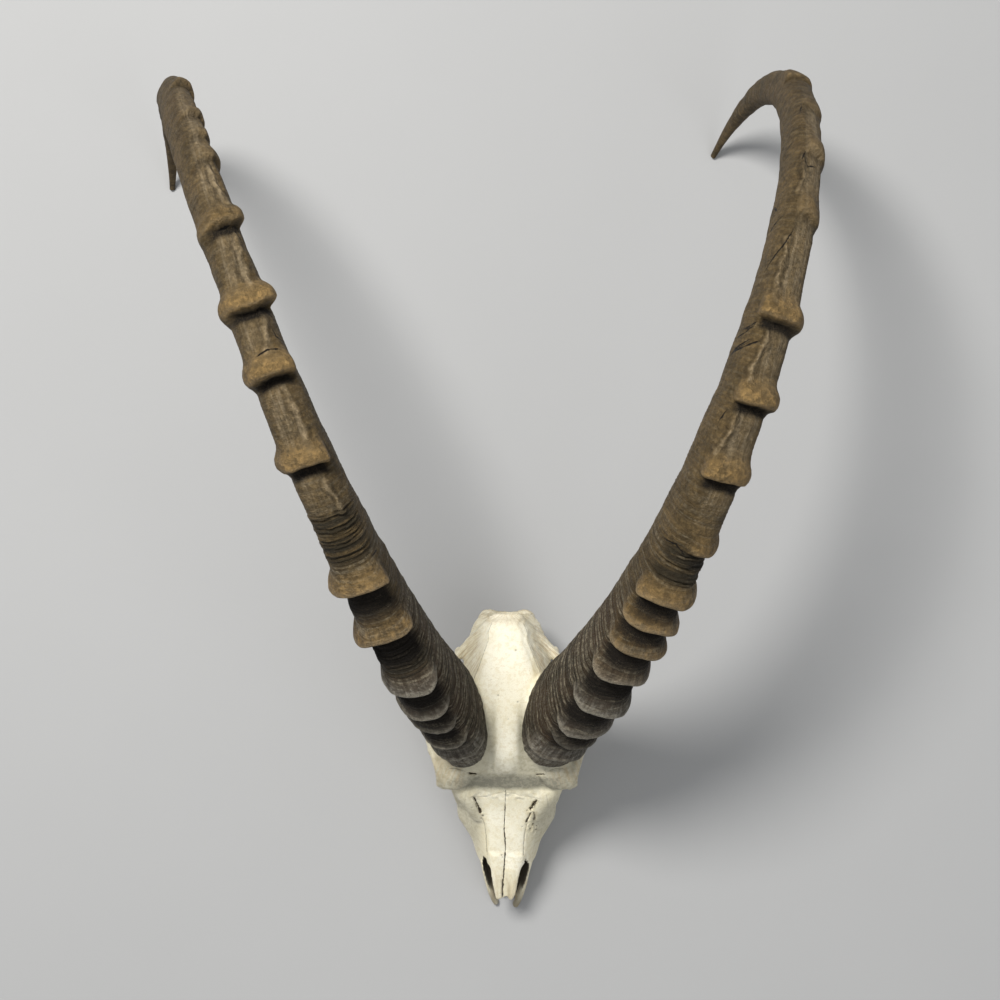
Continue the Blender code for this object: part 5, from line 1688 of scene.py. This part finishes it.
def trim_at_floor(item):
    """Flattens what would reach below the surface that the skull rests on."""
    for vert in item.data.vertices:
        vert.co.z = max(vert.co.z, 0.0)


def tooth_outline(length, width, sides, grow):
    """Level outline of a tooth: a rounded block with two lobes and ribs on its cheek side."""
    angles = math.tau * (np.arange(sides) + 0.5) / sides
    across = rounded(np.cos(angles), 3.2) * (width / 2 + grow)
    along = rounded(np.sin(angles), 3.2) * (length / 2 + grow)
    lobes = np.where(across > 0, 0.0007 * np.cos(2 * math.tau * along / length) * -1.0, 0.0)
    return across + lobes, along


def make_tooth(name, length, width, cusps, side, material):
    """One cheek tooth, with crescent ridges of enamel round worn hollows."""
    sides = TOOTH_SIDES
    rings = []
    worn = []
    gum = []
    for level in np.linspace(1.0, 0.0, 9):
        swell = 0.0003 * math.sin(level * math.pi) - 0.0005 * level
        across, along = tooth_outline(length, width, sides, swell)
        rings.append(np.stack((side * across, along, np.full(sides, TOOTH_TOP_Z * level)), axis=1))
        worn.append(np.zeros(sides))
        gum.append(np.full(sides, float(ease(np.array(level), 0.25, 0.85))))
    outline_across, outline_along = tooth_outline(length, width, sides, 0.0)
    for share in CHEWING_RINGS:
        across, along = outline_across * share, outline_along * share
        ridge = np.zeros(sides)
        for cusp in range(cusps):
            centre = length * ((cusp + 0.5) / cusps - 0.5)
            reach = length / cusps
            bow = np.hypot((along - centre) / (0.42 * reach), (across + 0.12 * width) / (0.36 * width))
            ridge = np.maximum(ridge, hill(bow, 0.75, 0.16))
        edge = hill(np.array(share), 0.97, 0.10)
        raised = np.maximum(ridge, edge)
        depth = 0.0013 * (1.0 - raised) * (1.0 - share ** 6) + 0.0002
        rings.append(np.stack((side * across, along, depth), axis=1))
        worn.append(1.0 - raised)
        gum.append(np.zeros(sides))
    mesh = grid_mesh(name, np.stack(rings))
    write_mark(mesh, "worn", np.stack(worn))
    write_mark(mesh, "gum", np.stack(gum))
    mesh.materials.append(material)
    item = link(name, mesh)
    form = bmesh.new()
    form.from_mesh(mesh)
    bmesh.ops.recalc_face_normals(form, faces=form.faces)
    form.to_mesh(mesh)
    form.free()
    mesh.shade_smooth()
    return item


class SKULL_OT_cranium(bpy.types.Operator):
    """Grow the bone of the skull, with its seams, holes and roughness"""

    bl_idname = "skull.cranium"
    bl_label = "Cranium"

    def execute(self, context):
        settings = context.scene.skull_bone
        skull = grow_skull(settings.grain)
        detail_skull(skull)
        skull.data.transform(SKULL_POSE)
        trim_at_floor(skull)
        skull.data.materials.clear()
        skull.data.materials.append(bone_material(settings))
        skull.data.shade_smooth()
        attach(skull, "root")
        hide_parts("cranium")
        return {"FINISHED"}


class SKULL_OT_horns(bpy.types.Operator):
    """Grow both horn sheaths, with their knobs, clefts, keel and growth rings"""

    bl_idname = "skull.horns"
    bl_label = "Horn sheaths"

    def execute(self, context):
        settings = context.scene.skull_horns
        material = horn_material(settings)
        for name, node, horn in (
            ("left_horn_sheath", "horn_left", HORN_LEFT),
            ("right_horn_sheath", "horn_right", HORN_RIGHT),
        ):
            item = make_horn_sheath(name, horn, settings, material)
            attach(item, "root")
            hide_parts(node)
        return {"FINISHED"}


class SKULL_OT_teeth(bpy.types.Operator):
    """Set the cheek teeth into the upper jaw"""

    bl_idname = "skull.teeth"
    bl_label = "Cheek teeth"

    def execute(self, context):
        material = tooth_material(context.scene.skull_teeth)
        for side, word in ((1, "left"), (-1, "right")):
            for name, distance, offset, length, width, cusps in CHEEK_TEETH:
                item = make_tooth(f"{word}_{name}_crown", length, width, cusps, side, material)
                item.data.transform(SKULL_POSE @ Matrix.Translation((side * offset, distance, 0.0)))
                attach(item, "root")
                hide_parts(f"tooth_{word}_{name}")
        return {"FINISHED"}


def add_light(name, place, target, size, power, warmth):
    data = bpy.data.lights.new(name, "AREA")
    data.shape = "DISK"
    data.size = size
    data.energy = power
    data.color = warmth
    item = link(name, data)
    item.location = place
    item.rotation_euler = (Vector(target) - Vector(place)).to_track_quat("-Z", "Y").to_euler()


class SKULL_OT_stage(bpy.types.Operator):
    """Lay the pale floor, and set the lights and the camera over the skull"""

    bl_idname = "skull.stage"
    bl_label = "Floor, lights and camera"

    def execute(self, context):
        settings = context.scene.skull_stage
        form = bmesh.new()
        bmesh.ops.create_grid(form, x_segments=1, y_segments=1, size=settings.floor_width / 2)
        data = bpy.data.meshes.new("floor")
        form.to_mesh(data)
        form.free()
        floor = link("floor", data)
        material, tree, shader = new_material("pale_floor")
        place = place_node(tree, "ShaderNodeTexCoord").outputs["Object"]
        clouds = mottling(tree, place, 0.5, 0.3)
        pale = colour(settings.floor)
        shade = colour([value * 0.97 for value in settings.floor])
        tree.links.new(tint(tree, clouds["Patches"], pale, shade), shader.inputs["Base Color"])
        shader.inputs["Roughness"].default_value = 0.8
        data.materials.append(material)
        add_light("key", **KEY_LIGHT, warmth=KEY_WARMTH)
        add_light("fill", **FILL_LIGHT, warmth=SKY_TINT)
        world = bpy.data.worlds.new("soft_sky")
        context.scene.world = world
        world.use_nodes = True
        sky = world.node_tree.nodes["Background"]
        sky.inputs["Color"].default_value = colour(SKY_TINT)
        sky.inputs["Strength"].default_value = settings.sky
        lens = bpy.data.cameras.new("overhead")
        lens.lens = CAMERA_LENS
        lens.sensor_width = 36.0
        camera = link("overhead", lens)
        camera.location = CAMERA_PLACE
        context.scene.camera = camera
        context.scene.view_settings.view_transform = "Standard"
        return {"FINISHED"}


class SKULL_PT_dressing(bpy.types.Panel):
    bl_label = "Ibex Skull"
    bl_idname = "SKULL_PT_dressing"
    bl_space_type = "VIEW_3D"
    bl_region_type = "UI"
    bl_category = "Ibex Skull"

    def draw(self, context):
        scene = context.scene
        for operator, settings in (
            (SKULL_OT_cranium, scene.skull_bone),
            (SKULL_OT_horns, scene.skull_horns),
            (SKULL_OT_teeth, scene.skull_teeth),
            (SKULL_OT_stage, scene.skull_stage),
        ):
            box = self.layout.box()
            for name in settings.__annotations__:
                box.prop(settings, name)
            box.operator(operator.bl_idname)


CLASSES = (
    BoneSettings,
    HornSettings,
    ToothSettings,
    StageSettings,
    SKULL_OT_cranium,
    SKULL_OT_horns,
    SKULL_OT_teeth,
    SKULL_OT_stage,
    SKULL_PT_dressing,
)


def register():
    for item in CLASSES:
        bpy.utils.register_class(item)
    bpy.types.Scene.skull_bone = bpy.props.PointerProperty(type=BoneSettings)
    bpy.types.Scene.skull_horns = bpy.props.PointerProperty(type=HornSettings)
    bpy.types.Scene.skull_teeth = bpy.props.PointerProperty(type=ToothSettings)
    bpy.types.Scene.skull_stage = bpy.props.PointerProperty(type=StageSettings)


def unregister():
    for name in ("skull_bone", "skull_horns", "skull_teeth", "skull_stage"):
        delattr(bpy.types.Scene, name)
    for item in reversed(CLASSES):
        bpy.utils.unregister_class(item)


def main():
    register()
    bpy.ops.skull.stage()
    bpy.ops.skull.cranium()
    bpy.ops.skull.horns()
    bpy.ops.skull.teeth()


if __name__ == "__main__":
    main()
